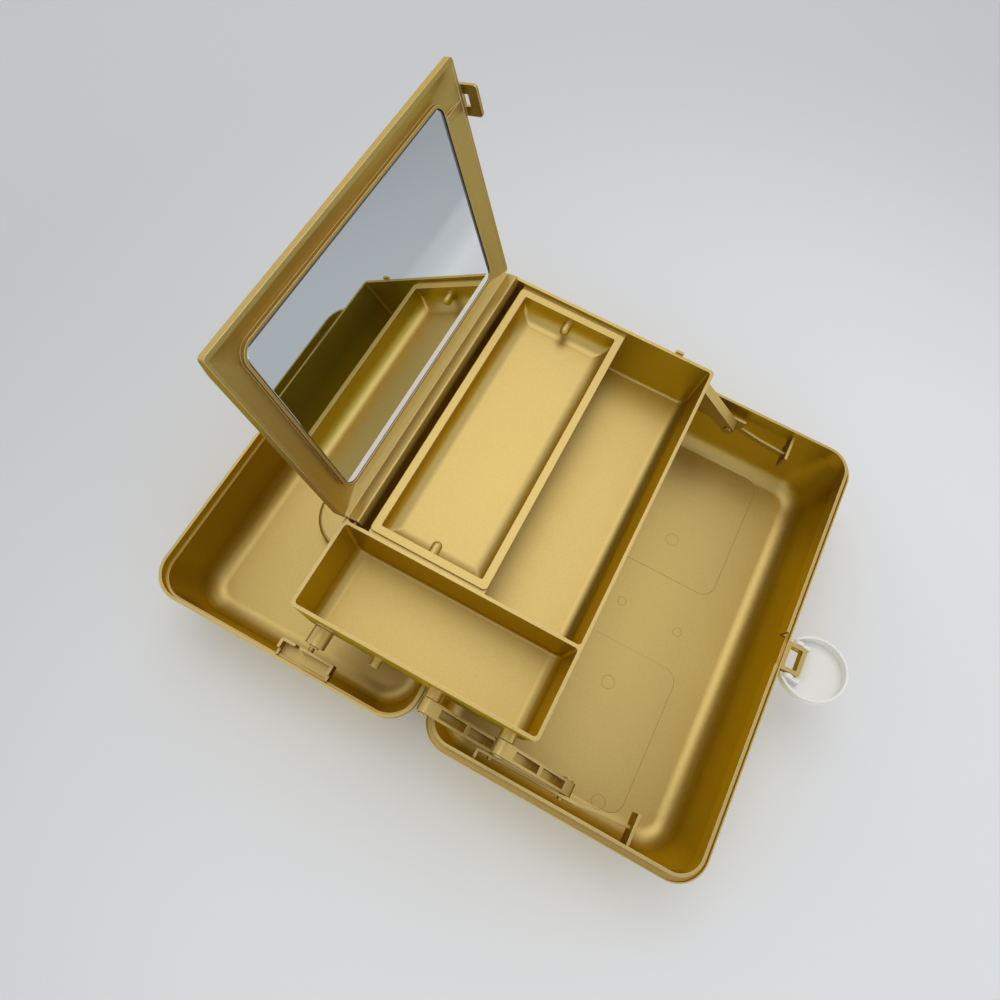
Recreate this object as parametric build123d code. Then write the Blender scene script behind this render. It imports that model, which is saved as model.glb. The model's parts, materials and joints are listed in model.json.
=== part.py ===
"""Vanity box with mirror: a moulded cosmetic case that opens flat, with a tray carried on swinging arms.

Lengths are millimetres and angles are degrees. The pieces are built in hinge coordinates: the case hinge runs
along Y through the origin, the rims lie in the plane Z = 0, the base is on the +X side and the opened lid on the
-X side. export_all() then moves them so that the origin is the centre of the base's flat bottom face.
The near side of the case is -Y and the far side is +Y.
"""
from build123d import *
import os
from math import cos, hypot, radians, sin, tan

# --- Fits and cuts ------------------------------------------------------------------------------------------
RUN = 0.05                # radial clearance of a turning pin
SEAT = 0.02               # radial clearance of a fixed pin
HEAD_GAP = 0.1            # under a pin's head
LAYER_GAP = 0.4           # between neighbouring moving layers
EDGE_GAP = 0.3            # between pieces that close against each other
OVERCUT = 1.0             # how far a cut runs past the face it opens

# --- Case shells --------------------------------------------------------------------------------------------
CASE_WIDTH = 300.0        # outside, along the hinge
CASE_DEPTH = 182.0        # hinge axis to the front of the rim
SHELL_DEPTH = 60.0        # rim plane to the flat outer face of each half
CORNER_R = 20.0           # plan corners of the rim
FLOOR_CORNER_R = 26.0     # plan corners that the walls lean towards, at the floor
WALL = 2.2
FLOOR = 2.2
DRAFT = 8.0               # lean of the walls below the rim band
RIM_BAND = 12.0           # upright height under the rim
FOOT_R = 16.0             # outside radius between wall and floor
RIM_GAP = 0.4             # between the rims when the case is shut
RIM_LAND = 0.8            # edge of the base's outer wall, where the lid's rim meets it
GROOVE = 3.3              # between that edge and the inner lip
GROOVE_DEPTH = 3.0
RIM_LIP = 1.8             # inner lip, which stands up into the shut lid
RIM_LIP_RISE = 5.8
BASE_RIM_DROP = 6.0       # height of the band that carries the lip
LID_RIM_STEP = 0.4        # the lid's wall is thinner by this at the rim
LID_STEP_DROP = 8.0
LID_BEAD = 0.9            # bead round the lid's wall, under the step
LID_BEAD_HEIGHT = 1.6
PANEL_RISE = 0.35         # raised floor panels
PANEL_R = 10.0
PANEL_START_X = 58.0      # hinge axis to the panels
PANEL_FRONT = 41.0        # panels to the front of the rim
PANEL_START_Y = 30.0      # middle of the case to the panels
PANEL_END = 18.0          # panels' ends to the outside of the case

# --- Case hinge ---------------------------------------------------------------------------------------------
KNUCKLE_R = 3.2
HINGE_SETBACK = 3.45      # hinge axis to the back of each shell
HINGE_INSET = 65.0        # end of the case to the centre of each hinge
KNUCKLE_LENGTH = 14.0
KNUCKLE_GAP = 0.3
HINGE_PIN_R = 1.3

# --- Tray ---------------------------------------------------------------------------------------------------
TRAY_X = (-83.6, 63.5)    # outside of the rim
TRAY_GAP = 0.85           # tray's end walls to the links
TRAY_RIM_Z = 55.3
TRAY_HEIGHT = 45.3
TRAY_WALL = 2.0
TRAY_LEAN = 3.0           # how far each wall leans in from rim to bottom
TRAY_CORNER_R = 3.0
TRAY_FOOT_R = 10.0        # long bottom edges, outside
BAY_WIDTH = 50.05         # small compartment, inside, along the hinge
LEDGE = 1.6               # ledges that carry the lift-out tray
LEDGE_GAP = 0.6           # ledge to the lift-out tray's wall

# --- Swinging arms ------------------------------------------------------------------------------------------
ARM_LENGTH = 57.0         # pivot to pivot
ARM_OPEN = 141.0          # arm's angle above +X with the case open
ARM_PITCH = 45.5          # between the rear and front arms
ARM_HEIGHT = 9.4
ARM_WEB = 2.0             # floor of the channel
ARM_FLANGE = 1.6
ARM_MID_RIB = 3.0
ARM_END_WEB = 2.0         # between a boss and the channel
REAR_PIVOT_X = 4.5        # tray pivot of the rear arms
TRAY_PIVOT_DROP = 24.3    # tray's rim to the arm pivots
ARM_WIDTH = 8.0           # along the hinge
PIN_R = 1.8
PIN_HEAD_R = 3.0
PIN_HEAD = 0.9
PIN_STAND_OUT = 1.5       # base pins, outside the rails
TRAY_BOSS_R = 4.6

# --- Lid links ----------------------------------------------------------------------------------------------
LINK_TRAY_IN = 17.7       # link's pivot on the tray, from the tray's hinge-side rim
LINK_TRAY_DROP = 25.3     # tray's rim to that pivot
LINK_LID_X = -76.0        # link's foot in the lid's rail
LINK_LID_Z = -11.0
LINK_THICK = 4.3
LINK_BOSS_GAP = 2.8       # link's long boss to the rails
LINK_BOSS_R = 5.8
LINK_WIDTH = 8.0
LINK_PEG_GAP = 0.3        # peg's end to the rail
STOP_PEG_IN = 50.6        # from the tray's hinge-side rim
STOP_PEG_DROP = 33.3
STOP_PEG_R = 3.0

# --- Brackets -----------------------------------------------------------------------------------------------
RAIL_SETBACK = 5.0        # rails to the base's inner lip
RAIL_GAP = 0.5            # rails to the arms
RAIL = 1.8
RAIL_TOP = -1.0
RAIL_HEIGHT = 11.0
RAIL_PAST_PINS = 8.8      # ends of the base's rails, past the arm pins
UNDER_RIM = 0.05          # rail to the band under the base's lip
STRAP_RUN = (15.0, 34.0)  # points of the strap, past the end of the rail
STRAP_BEND = (1.3, 2.7)   # how far they stand inside the rail's inner face
STRAP_TOP = -8.4
STRAP_FOOT = -13.4
RIB_RUN = 34.8            # past the end of the rail
RIB_REACH = 11.3          # inside the rail's inner face
RIB = 1.8
RIB_FOOT = -15.4
LID_RAIL_RUN = (-16.0, 18.0)  # ends of the lid's rail, from the link's foot
LID_RAIL_GAP = (-8.0, -4.0)   # gap in it, from the link's foot
LID_BACK_BAR = 1.6
LID_BACK_HEIGHT = 4.0

# --- Mirror lid ---------------------------------------------------------------------------------------------
MIRROR_OPEN = 108.2       # from shut, at rest
MIRROR_AXIS_IN = 5.6      # tray's hinge-side rim to the axis
MIRROR_AXIS_DROP = 2.8    # tray's rim to the axis
MIRROR_FREE = 1.0         # free edge to the tray's front rim, when shut
FRAME_NEAR = 0.4          # near edge of the frame to the middle of the divider
FRAME_FAR = 0.25          # far edge of the frame past the tray's wall
FRAME_START = 6.6         # axis to the hinge edge of the frame
FRAME_THICK = 6.5
FRAME_WALL = 1.6
FRAME_FREE_WALL = 2.6     # at the free edge
FRAME_R = 2.5
VALLEY = 2.8              # depth of the hollow between the frame's outer wall and the lip
VALLEY_START = 6.9        # axis to the hollow
VALLEY_SIDE = 0.3         # upright part of its side
VALLEY_R = 1.5
VALLEY_FOOT = 1.0         # flat floor round the lip
LIP = 1.5
LIP_RISE = 2.3
LIP_LAP = 1.5             # how far the lip stands over the face of the glass
GLASS_START = 16.6        # axis to the glass
GLASS_FREE = 13.0         # glass to the frame's free edge
GLASS_NEAR = 14.8         # glass to the frame's near edge
GLASS_FAR = 16.5          # glass to the frame's far edge
GLASS_R = 7.0
GLASS_THICK = 3.0
GLASS_CLEAR = 0.25
PAD_THICK = 0.7
PAD_INSET = 6.0
EDGE_TAPER = (12.0, 3.2)  # length and depth of the slope on the back of the free edge
BARREL_R = 2.6
HINGE_RAIL = (-0.5, 6.2)  # bar along the hinge that hangs inside the tray, from the axis
HINGE_RAIL_DROP = 5.2     # its foot, under the axis
HINGE_RAIL_R = 0.8
HINGE_NECK = (5.6, 3.0)   # back of the bar, clear of the tray's rim when open
HINGE_THROAT = (3.2, 2.2)
HINGE_HEEL = (5.1, 4.6)
HINGE_WALL_TOP = 1.9      # where the bar's wall meets the hollow's floor
HINGE_TOE = (8.6, 4.4)
LEAF_GAP = 1.2            # bar's ends to the tray's walls
MIRROR_PIN_R = 1.2
MIRROR_PIN = 8.0
CLASP = 16.5              # width of the hasp on the frame's far edge
CLASP_FREE = 15.5         # hasp to the frame's free edge
CLASP_THICK = 1.6
CLASP_ROOT_N = (4.6, 6.4)  # its web, above the axis
CLASP_TIP_N = -4.8        # its tip
CLASP_WINDOW_N = (1.2, 4.4)
CLASP_BAR = 4.9           # each side of its window
CLASP_R = 1.8
CLASP_WINDOW_R = 0.5
CLASP_ROOT = 1.0          # how far its web is let into the frame's edge
CLASP_PAD = 5.0           # bridge across the hollow at the hasp
NUB = (5.2, 2.2, 2.6)     # nub on the tray's far wall: along X, outwards and high
NUB_RISE = 1.3            # above the tray's rim
NUB_SETBACK = 0.6         # upper part of the nub, outside the tray's wall

# --- Lift-out tray ------------------------------------------------------------------------------------------
SUB_IN = 14.3             # tray's hinge-side rim to the lift-out tray
SUB_LENGTH = 73.0         # across the hinge
SUB_NEAR = 2.2            # divider to the lift-out tray
SUB_FAR = 2.75            # far wall to the lift-out tray
SUB_DROP = 1.6            # under the tray's rim
SUB_RIM = 4.7
SUB_RIM_THICK = 1.8
SUB_DEPTH = 17.0
SUB_WALL = 1.6
SUB_R = 2.5
SUB_COVE_R = 11.0
SUB_PEG = 9.0
SUB_PEG_R = 3.0
SUB_PEG_DROP = 7.0
SUB_INNER_R = 1.0

# --- Latch --------------------------------------------------------------------------------------------------
TAB_REACH = 13.0
TAB_WIDTH = 19.0
TAB_TOP = -2.0
TAB_THICK = 7.0
TAB_BAR = 2.6
TAB_R = 1.5
LATCH_NOTCH = 22.0
LATCH_AXIS_OUT = 7.5      # front of the rim to the latch axis
LATCH_AXIS_Z = -5.5
LATCH_PIN_R = 1.7
LATCH_REST_TILT = 12.0
CAP_R = 20.5
CAP_DEPTH = 10.0
CAP_WALL = 1.6
CAP_CENTRE = 12.5         # latch axis to the middle of the cap
CAP_MOUTH = 1.5           # mouth of the cap above the latch axis
CAP_LUG = 2.6
CAP_LUG_R = 3.6
CAP_LUG_GAP = 0.4
CAP_LUG_FOOT = 7.6        # lug's foot, from the latch axis
CAP_STUB_GAP = 0.4        # between the cap's stub pins and the inside of the loop's bars
CAP_EDGE_R = 2.5
CAP_NOTCH = 14.0          # gap in the rim for the loop
CATCH = (8.5, 13.0, 6.0)  # lid catch: reach, width and height
CATCH_DROP = 2.0

# --- Carry handle -------------------------------------------------------------------------------------------
RECESS_FRONT = 14.3       # middle of the lid to the middle of the recess
RECESS_HALF = 41.0        # centre of each round end
RECESS_R = 25.6
RECESS_DEPTH = 12.0
RECESS_EDGE_R = 3.0       # inner edge of the bulge
ROUND_END = 0.01          # how far a round end falls short of a full half circle
EAR = 8.0                 # ears that hold the handle
HANDLE_PIN = 8.0          # pin's length in an ear
HANDLE_OUTER_R = 9.0
HANDLE_INNER_R = 6.0
HANDLE_HALF = 50.0
HANDLE_AXIS_FRONT = 18.0  # middle of the recess to the handle's axis
HANDLE_AXIS_RISE = 3.6    # above the lid's outer face
HANDLE_REACH = 37.5
HANDLE_ARM = 7.0
HANDLE_BAR = 8.0
HANDLE_THICK = 6.0
HANDLE_PIN_R = 1.8
HANDLE_GAP = 0.6

# --- Derived places -----------------------------------------------------------------------------------------
FAR = 1
NEAR = -1
RIM_TOP = -RIM_GAP / 2
BASE_RIM = RIM_LAND + GROOVE + RIM_LIP
HINGE_Y = CASE_WIDTH / 2 - HINGE_INSET
PANEL_X = (PANEL_START_X, CASE_DEPTH - PANEL_FRONT)
PANEL_Y = (PANEL_START_Y, CASE_WIDTH / 2 - PANEL_END)
# Layers from the case's end walls inwards: lip, rail, arm, link, tray.
RAIL_Y = CASE_WIDTH / 2 - BASE_RIM - RAIL_SETBACK - RAIL
ARM_Y = (RAIL_Y - RAIL_GAP - ARM_WIDTH, RAIL_Y - RAIL_GAP)
LINK_Y = (ARM_Y[0] - LAYER_GAP - LINK_THICK, ARM_Y[0] - LAYER_GAP)
LINK_BOSS_END = RAIL_Y - LINK_BOSS_GAP
TRAY_HALF = LINK_Y[0] - TRAY_GAP
DIVIDER_Y = -TRAY_HALF + TRAY_WALL + BAY_WIDTH + TRAY_WALL / 2
TRAY_BOTTOM_Z = TRAY_RIM_Z - TRAY_HEIGHT
TRAY_PIVOT_Z = TRAY_RIM_Z - TRAY_PIVOT_DROP
ARM_DX = -ARM_LENGTH * cos(radians(ARM_OPEN))
ARM_DZ = ARM_LENGTH * sin(radians(ARM_OPEN))
BASE_PIVOT_Z = TRAY_PIVOT_Z - ARM_DZ
LINK_TRAY_X = TRAY_X[0] + LINK_TRAY_IN
LINK_TRAY_Z = TRAY_RIM_Z - LINK_TRAY_DROP
STOP_PEG_X = TRAY_X[0] + STOP_PEG_IN
STOP_PEG_Z = TRAY_RIM_Z - STOP_PEG_DROP
BASE_RAIL_X = (REAR_PIVOT_X + ARM_DX - RAIL_PAST_PINS, REAR_PIVOT_X + ARM_PITCH + ARM_DX + RAIL_PAST_PINS)
LID_RAIL_X = (LINK_LID_X + LID_RAIL_RUN[0], LINK_LID_X + LID_RAIL_RUN[1])
MIRROR_AXIS_X = TRAY_X[0] + MIRROR_AXIS_IN
MIRROR_AXIS_Z = TRAY_RIM_Z - MIRROR_AXIS_DROP
MIRROR_Y = (DIVIDER_Y + FRAME_NEAR, TRAY_HALF + FRAME_FAR)
MIRROR_REACH = TRAY_X[1] - MIRROR_AXIS_X - MIRROR_FREE
FRAME_FACE = MIRROR_AXIS_DROP + EDGE_GAP
GLASS_S = (GLASS_START, MIRROR_REACH - GLASS_FREE)
GLASS_Y = (MIRROR_Y[0] + GLASS_NEAR, MIRROR_Y[1] - GLASS_FAR)
CLASP_S = (MIRROR_REACH - CLASP_FREE - CLASP, MIRROR_REACH - CLASP_FREE)
SUB_X = (TRAY_X[0] + SUB_IN, TRAY_X[0] + SUB_IN + SUB_LENGTH)
SUB_Y = (DIVIDER_Y + TRAY_WALL / 2 + SUB_NEAR, TRAY_HALF - TRAY_WALL - SUB_FAR)
SUB_RIM_Z = TRAY_RIM_Z - SUB_DROP
SUB_PEG_X = (SUB_X[0] + SUB_X[1]) / 2
LATCH_AXIS_X = CASE_DEPTH + LATCH_AXIS_OUT
RECESS_X = -(CASE_DEPTH + HINGE_SETBACK) / 2 - RECESS_FRONT
HANDLE_AXIS_X = RECESS_X - HANDLE_AXIS_FRONT
HANDLE_AXIS_Z = -SHELL_DEPTH + HANDLE_AXIS_RISE


# --- Small helpers ------------------------------------------------------------------------------------------
def block(x, y, z):
    """Box between two corners, given as (low, high) along each axis."""
    centre = Pos((x[0] + x[1]) / 2, (y[0] + y[1]) / 2, (z[0] + z[1]) / 2)
    return centre * Box(x[1] - x[0], y[1] - y[0], z[1] - z[0])


def slab(x, y, z, radius):
    """Box between two corners with its upright edges rounded."""
    plan = Pos((x[0] + x[1]) / 2, (y[0] + y[1]) / 2, z[0]) * RectangleRounded(x[1] - x[0], y[1] - y[0], radius)
    return extrude(plan, z[1] - z[0])


def rod(x, z, y0, y1, radius):
    """Cylinder along Y between y0 and y1."""
    return Pos(x, (y0 + y1) / 2, z) * Rot(90, 0, 0) * Cylinder(radius, abs(y1 - y0))


def side_span(side, span):
    """A (low, high) pair on the near or far side, from distances to the middle of the case."""
    return (span[0], span[1]) if side == FAR else (-span[1], -span[0])


def strip(points, thickness, z):
    """Thin upright wall that follows points in plan."""
    wall = None
    for (xa, ya), (xb, yb) in zip(points, points[1:]):
        run = hypot(xb - xa, yb - ya)
        turn = Vector(1, 0, 0).get_signed_angle(Vector(xb - xa, yb - ya, 0), Vector(0, 0, 1))
        place = Pos((xa + xb) / 2, (ya + yb) / 2, (z[0] + z[1]) / 2) * Rot(0, 0, turn)
        piece = place * Box(run, thickness, z[1] - z[0])
        piece += Pos(xb, yb, (z[0] + z[1]) / 2) * Cylinder(thickness / 2, z[1] - z[0])
        wall = piece if wall is None else wall + piece
    return wall


def turned(shape, x, z, angle):
    """Shape turned about an axis along +Y through (x, z)."""
    return Pos(x, 0, z) * Rot(0, angle, 0) * Pos(-x, 0, -z) * shape


def long_edges(shape, z):
    """Straight edges along Y at a height."""
    return [e for e in shape.edges().filter_by(Axis.Y) if abs(e.center().Z - z) < 0.01]


# --- Case shells --------------------------------------------------------------------------------------------
def shell_section(inset, z, lean=0.0, corner=CORNER_R):
    """Plan outline of a shell, inset by a wall and drawn in by the lean of the walls."""
    draw_in = inset + lean
    size_x = CASE_DEPTH - HINGE_SETBACK - 2 * draw_in
    outline = RectangleRounded(size_x, CASE_WIDTH - 2 * draw_in, corner - inset)
    return Pos((CASE_DEPTH + HINGE_SETBACK) / 2, 0, z) * outline


def tub(inset, top, floor_z, foot_r):
    """Solid of the base's form: an upright band, leaning walls and a rounded foot."""
    lean = (-floor_z - RIM_BAND) * tan(radians(DRAFT))
    band = extrude(shell_section(inset, -RIM_BAND), top + RIM_BAND)
    floor_outline = shell_section(inset, floor_z, lean, FLOOR_CORNER_R)
    lower = loft([floor_outline, shell_section(inset, -RIM_BAND)], ruled=True)
    foot = lower.faces().sort_by(Axis.Z)[0].edges()
    return band + fillet(foot, foot_r)


def ring(outer_inset, inner_inset, z):
    """Band that follows the rim between two insets."""
    outer = extrude(shell_section(outer_inset, z[0]), z[1] - z[0])
    return outer - extrude(shell_section(inner_inset, z[0]), z[1] - z[0])


def to_lid(shape):
    """The lid is the base's mirror image across the hinge."""
    return mirror(shape, Plane.YZ)


def knuckle_spans(for_base):
    """Y spans of one half's knuckles: the base has the outer two of each hinge and the lid the middle one."""
    pitch = KNUCKLE_LENGTH + KNUCKLE_GAP
    steps = (-1, 1) if for_base else (0,)
    centres = [side * HINGE_Y + step * pitch for side in (NEAR, FAR) for step in steps]
    return [(y - KNUCKLE_LENGTH / 2, y + KNUCKLE_LENGTH / 2) for y in centres]


def add_knuckles(shell, for_base):
    """Hinge knuckles with a web to the shell's back wall."""
    for span in knuckle_spans(for_base):
        shell += rod(0, 0, span[0], span[1], KNUCKLE_R)
        shell += block((0, HINGE_SETBACK + WALL / 2), span, (-KNUCKLE_R, RIM_TOP))
    for side in (NEAR, FAR):
        reach = 1.5 * KNUCKLE_LENGTH + KNUCKLE_GAP
        shell -= rod(0, 0, side * HINGE_Y - reach, side * HINGE_Y + reach, HINGE_PIN_R + RUN)
    return shell


def plain_shell():
    outer = tub(0, RIM_TOP, -SHELL_DEPTH, FOOT_R)
    inner = tub(WALL, OVERCUT, -SHELL_DEPTH + FLOOR, FOOT_R - WALL)
    return outer - inner


def base_shell():
    shell = plain_shell()
    lip_inset = RIM_LAND + GROOVE
    shell += ring(WALL / 2, BASE_RIM, (RIM_TOP - BASE_RIM_DROP, RIM_TOP))
    shell -= ring(RIM_LAND, lip_inset, (RIM_TOP - GROOVE_DEPTH, RIM_TOP + OVERCUT))
    shell += ring(lip_inset, BASE_RIM, (RIM_TOP - GROOVE_DEPTH, RIM_TOP + RIM_LIP_RISE))
    floor_top = -SHELL_DEPTH + FLOOR
    for side in (NEAR, FAR):
        panel_z = (floor_top - FLOOR / 2, floor_top + PANEL_RISE)
        shell += slab(PANEL_X, side_span(side, PANEL_Y), panel_z, PANEL_R)
    shell = add_knuckles(shell, True)
    # The inner lip stops short at the middle of the front, behind the latch.
    half = LATCH_NOTCH / 2
    return shell - block((CASE_DEPTH - BASE_RIM - OVERCUT, CASE_DEPTH - WALL), (-half, half),
                         (RIM_TOP - BASE_RIM_DROP, RIM_TOP + RIM_LIP_RISE + OVERCUT))


def latch_hinge_tab():
    """Loop on the front wall that the latch cap turns on."""
    half = TAB_WIDTH / 2
    z = (TAB_TOP - TAB_THICK, TAB_TOP)
    tab = slab((CASE_DEPTH - 2 * TAB_R, CASE_DEPTH + TAB_REACH), (-half, half), z, TAB_R)
    tab = tab & block((CASE_DEPTH, CASE_DEPTH + TAB_REACH), (-half, half), z)
    tab -= block((CASE_DEPTH + TAB_BAR, CASE_DEPTH + TAB_REACH - TAB_BAR), (-half + TAB_BAR, half - TAB_BAR),
                 (z[0] - OVERCUT, z[1] + OVERCUT))
    tab -= rod(LATCH_AXIS_X, LATCH_AXIS_Z, -half - OVERCUT, half + OVERCUT, LATCH_PIN_R + RUN)
    return tab


def recess_block(radius, half, z):
    """Upright solid with the long round-ended plan of the handle recess."""
    return slab((RECESS_X - radius, RECESS_X + radius), (-half - radius, half + radius), z, radius - ROUND_END)


def lid_shell():
    shell = to_lid(plain_shell())
    shell -= to_lid(ring(WALL - LID_RIM_STEP, WALL + OVERCUT, (RIM_TOP - LID_STEP_DROP, RIM_TOP + OVERCUT)))
    bead_top = RIM_TOP - LID_STEP_DROP
    shell += to_lid(ring(WALL / 2, WALL + LID_BEAD, (bead_top - LID_BEAD_HEIGHT, bead_top)))
    shell = to_lid(add_knuckles(to_lid(shell), False))
    # Handle recess: a round-ended bulge inside the lid with the hollow open to the outside.
    floor_z = -SHELL_DEPTH
    bulge = recess_block(RECESS_R + WALL, RECESS_HALF, (floor_z + FLOOR / 2, floor_z + RECESS_DEPTH + FLOOR))
    shell += fillet(bulge.faces().sort_by(Axis.Z)[-1].edges(), RECESS_EDGE_R)
    shell -= recess_block(RECESS_R, RECESS_HALF, (floor_z - OVERCUT, floor_z + RECESS_DEPTH))
    ear_z = (floor_z + HANDLE_GAP, floor_z + RECESS_DEPTH + FLOOR / 2)
    hollow = recess_block(RECESS_R + WALL / 2, RECESS_HALF, ear_z)
    for side in (NEAR, FAR):
        ear = block((HANDLE_AXIS_X - EAR / 2, HANDLE_AXIS_X + EAR / 2),
                    side_span(side, (HANDLE_HALF + HANDLE_GAP, RECESS_HALF + RECESS_R + WALL)), ear_z)
        shell += ear & hollow
        shell -= rod(HANDLE_AXIS_X, HANDLE_AXIS_Z, side * HANDLE_HALF, side * (HANDLE_HALF + HANDLE_PIN),
                     HANDLE_PIN_R + SEAT)
    # Catch at the middle of the front, for the latch cap.
    reach, width, height = CATCH
    top = RIM_TOP - CATCH_DROP
    shell += block((-CASE_DEPTH - reach, -CASE_DEPTH + WALL / 2), (-width / 2, width / 2), (top - height, top))
    return shell


def hinge_pins():
    reach = 1.5 * KNUCKLE_LENGTH + KNUCKLE_GAP
    return [rod(0, 0, side * HINGE_Y - reach, side * HINGE_Y + reach, HINGE_PIN_R) for side in (NEAR, FAR)]


# --- Carry handle -------------------------------------------------------------------------------------------
def carry_handle():
    z = (HANDLE_AXIS_Z - HANDLE_THICK / 2, HANDLE_AXIS_Z + HANDLE_THICK / 2)
    back = HANDLE_AXIS_X - HANDLE_THICK / 2
    front = HANDLE_AXIS_X + HANDLE_REACH
    body = slab((back - HANDLE_OUTER_R, front), (-HANDLE_HALF, HANDLE_HALF), z, HANDLE_OUTER_R)
    body = body & block((HANDLE_AXIS_X, front), (-HANDLE_HALF, HANDLE_HALF), z)
    for side in (NEAR, FAR):
        span = side_span(side, (HANDLE_HALF - HANDLE_ARM, HANDLE_HALF))
        body += rod(HANDLE_AXIS_X, HANDLE_AXIS_Z, span[0], span[1], HANDLE_THICK / 2)
    inner = HANDLE_HALF - HANDLE_ARM
    body -= slab((back - 2 * HANDLE_OUTER_R, front - HANDLE_BAR), (-inner, inner), widened(z, OVERCUT),
                 HANDLE_INNER_R)
    for side in (NEAR, FAR):
        body -= rod(HANDLE_AXIS_X, HANDLE_AXIS_Z, side * (inner - OVERCUT), side * (HANDLE_HALF + OVERCUT),
                    HANDLE_PIN_R + RUN)
    return body


def handle_pins():
    inner = HANDLE_HALF - HANDLE_ARM
    return [rod(HANDLE_AXIS_X, HANDLE_AXIS_Z, side * inner, side * (HANDLE_HALF + HANDLE_PIN), HANDLE_PIN_R)
            for side in (NEAR, FAR)]


# --- Tray ---------------------------------------------------------------------------------------------------
def trough(x, y, z, lean, corner_r, foot_r):
    """Block that narrows downwards, with round long bottom edges and slightly round ends."""
    outline = Polyline((x[0], 0, z[1]), (x[0] + lean, 0, z[0]), (x[1] - lean, 0, z[0]), (x[1], 0, z[1]),
                       close=True)
    face = make_face(outline)
    feet = [v for v in face.vertices() if abs(v.Z - z[0]) < 0.01]
    face = fillet(feet, foot_r)
    body = extrude(Pos(0, y[1], 0) * face, amount=y[1] - y[0], dir=(0, -1, 0))
    ends = [f for f in body.faces() if abs(f.center().Y - y[0]) < 0.01 or abs(f.center().Y - y[1]) < 0.01]
    rim = [e for f in ends for e in f.edges() if e.center().Z < z[1] - 0.01]
    return fillet(rim, corner_r)


def tray_pivots():
    """(x, z) of the arm pivots on the tray."""
    return [(REAR_PIVOT_X + step * ARM_PITCH, TRAY_PIVOT_Z) for step in (0, 1)]


def base_pivots():
    """(x, z) of the arm pivots in the base."""
    return [(x + ARM_DX, BASE_PIVOT_Z) for x, _ in tray_pivots()]


def tray():
    z = (TRAY_BOTTOM_Z, TRAY_RIM_Z)
    body = trough(TRAY_X, (-TRAY_HALF, TRAY_HALF), z, TRAY_LEAN, TRAY_CORNER_R, TRAY_FOOT_R)
    for side in (NEAR, FAR):
        inner_face = side * (TRAY_HALF - TRAY_WALL / 2)
        for x, pivot_z in tray_pivots():
            body += rod(x, pivot_z, inner_face, side * (ARM_Y[0] - LAYER_GAP), TRAY_BOSS_R)
        body += rod(LINK_TRAY_X, LINK_TRAY_Z, inner_face, side * (LINK_Y[0] - LAYER_GAP), LINK_BOSS_R)
        body += rod(STOP_PEG_X, STOP_PEG_Z, inner_face, side * LINK_Y[1], STOP_PEG_R)
    inside_x = (TRAY_X[0] + TRAY_WALL, TRAY_X[1] - TRAY_WALL)
    floor_z = (TRAY_BOTTOM_Z + TRAY_WALL, TRAY_RIM_Z)
    lean = TRAY_LEAN * (TRAY_HEIGHT - TRAY_WALL) / TRAY_HEIGHT
    inside_r = TRAY_CORNER_R - TRAY_WALL / 2
    near_bay = (-TRAY_HALF + TRAY_WALL, DIVIDER_Y - TRAY_WALL / 2)
    main_bay = (DIVIDER_Y + TRAY_WALL / 2, TRAY_HALF - TRAY_WALL)
    for bay in (near_bay, main_bay):
        body -= trough(inside_x, bay, floor_z, lean, inside_r, TRAY_FOOT_R - TRAY_WALL)
    # Ledges that carry the lift-out tray by its rim.
    ledge_top = SUB_RIM_Z - SUB_RIM_THICK
    ledge_z = (ledge_top - LEDGE, ledge_top)
    body += block(SUB_X, (main_bay[0] - TRAY_WALL / 2, SUB_Y[0] + SUB_RIM - SUB_WALL - LEDGE_GAP), ledge_z)
    body += block(SUB_X, (SUB_Y[1] - SUB_RIM + SUB_WALL + LEDGE_GAP, main_bay[1] + TRAY_WALL / 2), ledge_z)
    # Seats of the pins.
    for side in (NEAR, FAR):
        deep = side * (TRAY_HALF - TRAY_WALL / 2)
        for x, pivot_z in tray_pivots():
            body -= rod(x, pivot_z, deep, side * ARM_Y[1], PIN_R + SEAT)
        body -= rod(LINK_TRAY_X, LINK_TRAY_Z, deep, side * LINK_Y[1], PIN_R + SEAT)
    for y0, y1 in mirror_pin_spans():
        body -= rod(MIRROR_AXIS_X, MIRROR_AXIS_Z, y0 - OVERCUT, y1 + OVERCUT, MIRROR_PIN_R + SEAT)
    # Nub that the mirror lid's clasp hooks over.
    nub_x = MIRROR_AXIS_X + (CLASP_S[0] + CLASP_S[1]) / 2
    size_x, size_y, size_z = NUB
    nub_span = (nub_x - size_x / 2, nub_x + size_x / 2)
    nub_top = TRAY_RIM_Z + NUB_RISE
    outer_y = TRAY_HALF + size_y
    body += block(nub_span, (TRAY_HALF - TRAY_WALL / 2, outer_y), (nub_top - size_z, TRAY_RIM_Z - EDGE_GAP))
    return body + block(nub_span, (TRAY_HALF + NUB_SETBACK, outer_y), (nub_top - size_z, nub_top))


def arm_tray_pins():
    """Pins pressed into the tray's bosses, with a head outside each arm."""
    pins = []
    for side in (NEAR, FAR):
        for x, z in tray_pivots():
            pin = rod(x, z, side * (TRAY_HALF - TRAY_WALL / 2), side * (ARM_Y[1] + HEAD_GAP), PIN_R)
            pin += rod(x, z, side * (ARM_Y[1] + HEAD_GAP), side * (ARM_Y[1] + HEAD_GAP + PIN_HEAD), PIN_HEAD_R)
            pins.append(pin)
    return pins


def link_pins():
    pins = []
    for side in (NEAR, FAR):
        end = LINK_BOSS_END + HEAD_GAP
        pin = rod(LINK_TRAY_X, LINK_TRAY_Z, side * (TRAY_HALF - TRAY_WALL / 2), side * end, PIN_R)
        pin += rod(LINK_TRAY_X, LINK_TRAY_Z, side * end, side * (end + PIN_HEAD), PIN_HEAD_R)
        pins.append(pin)
    return pins


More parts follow.
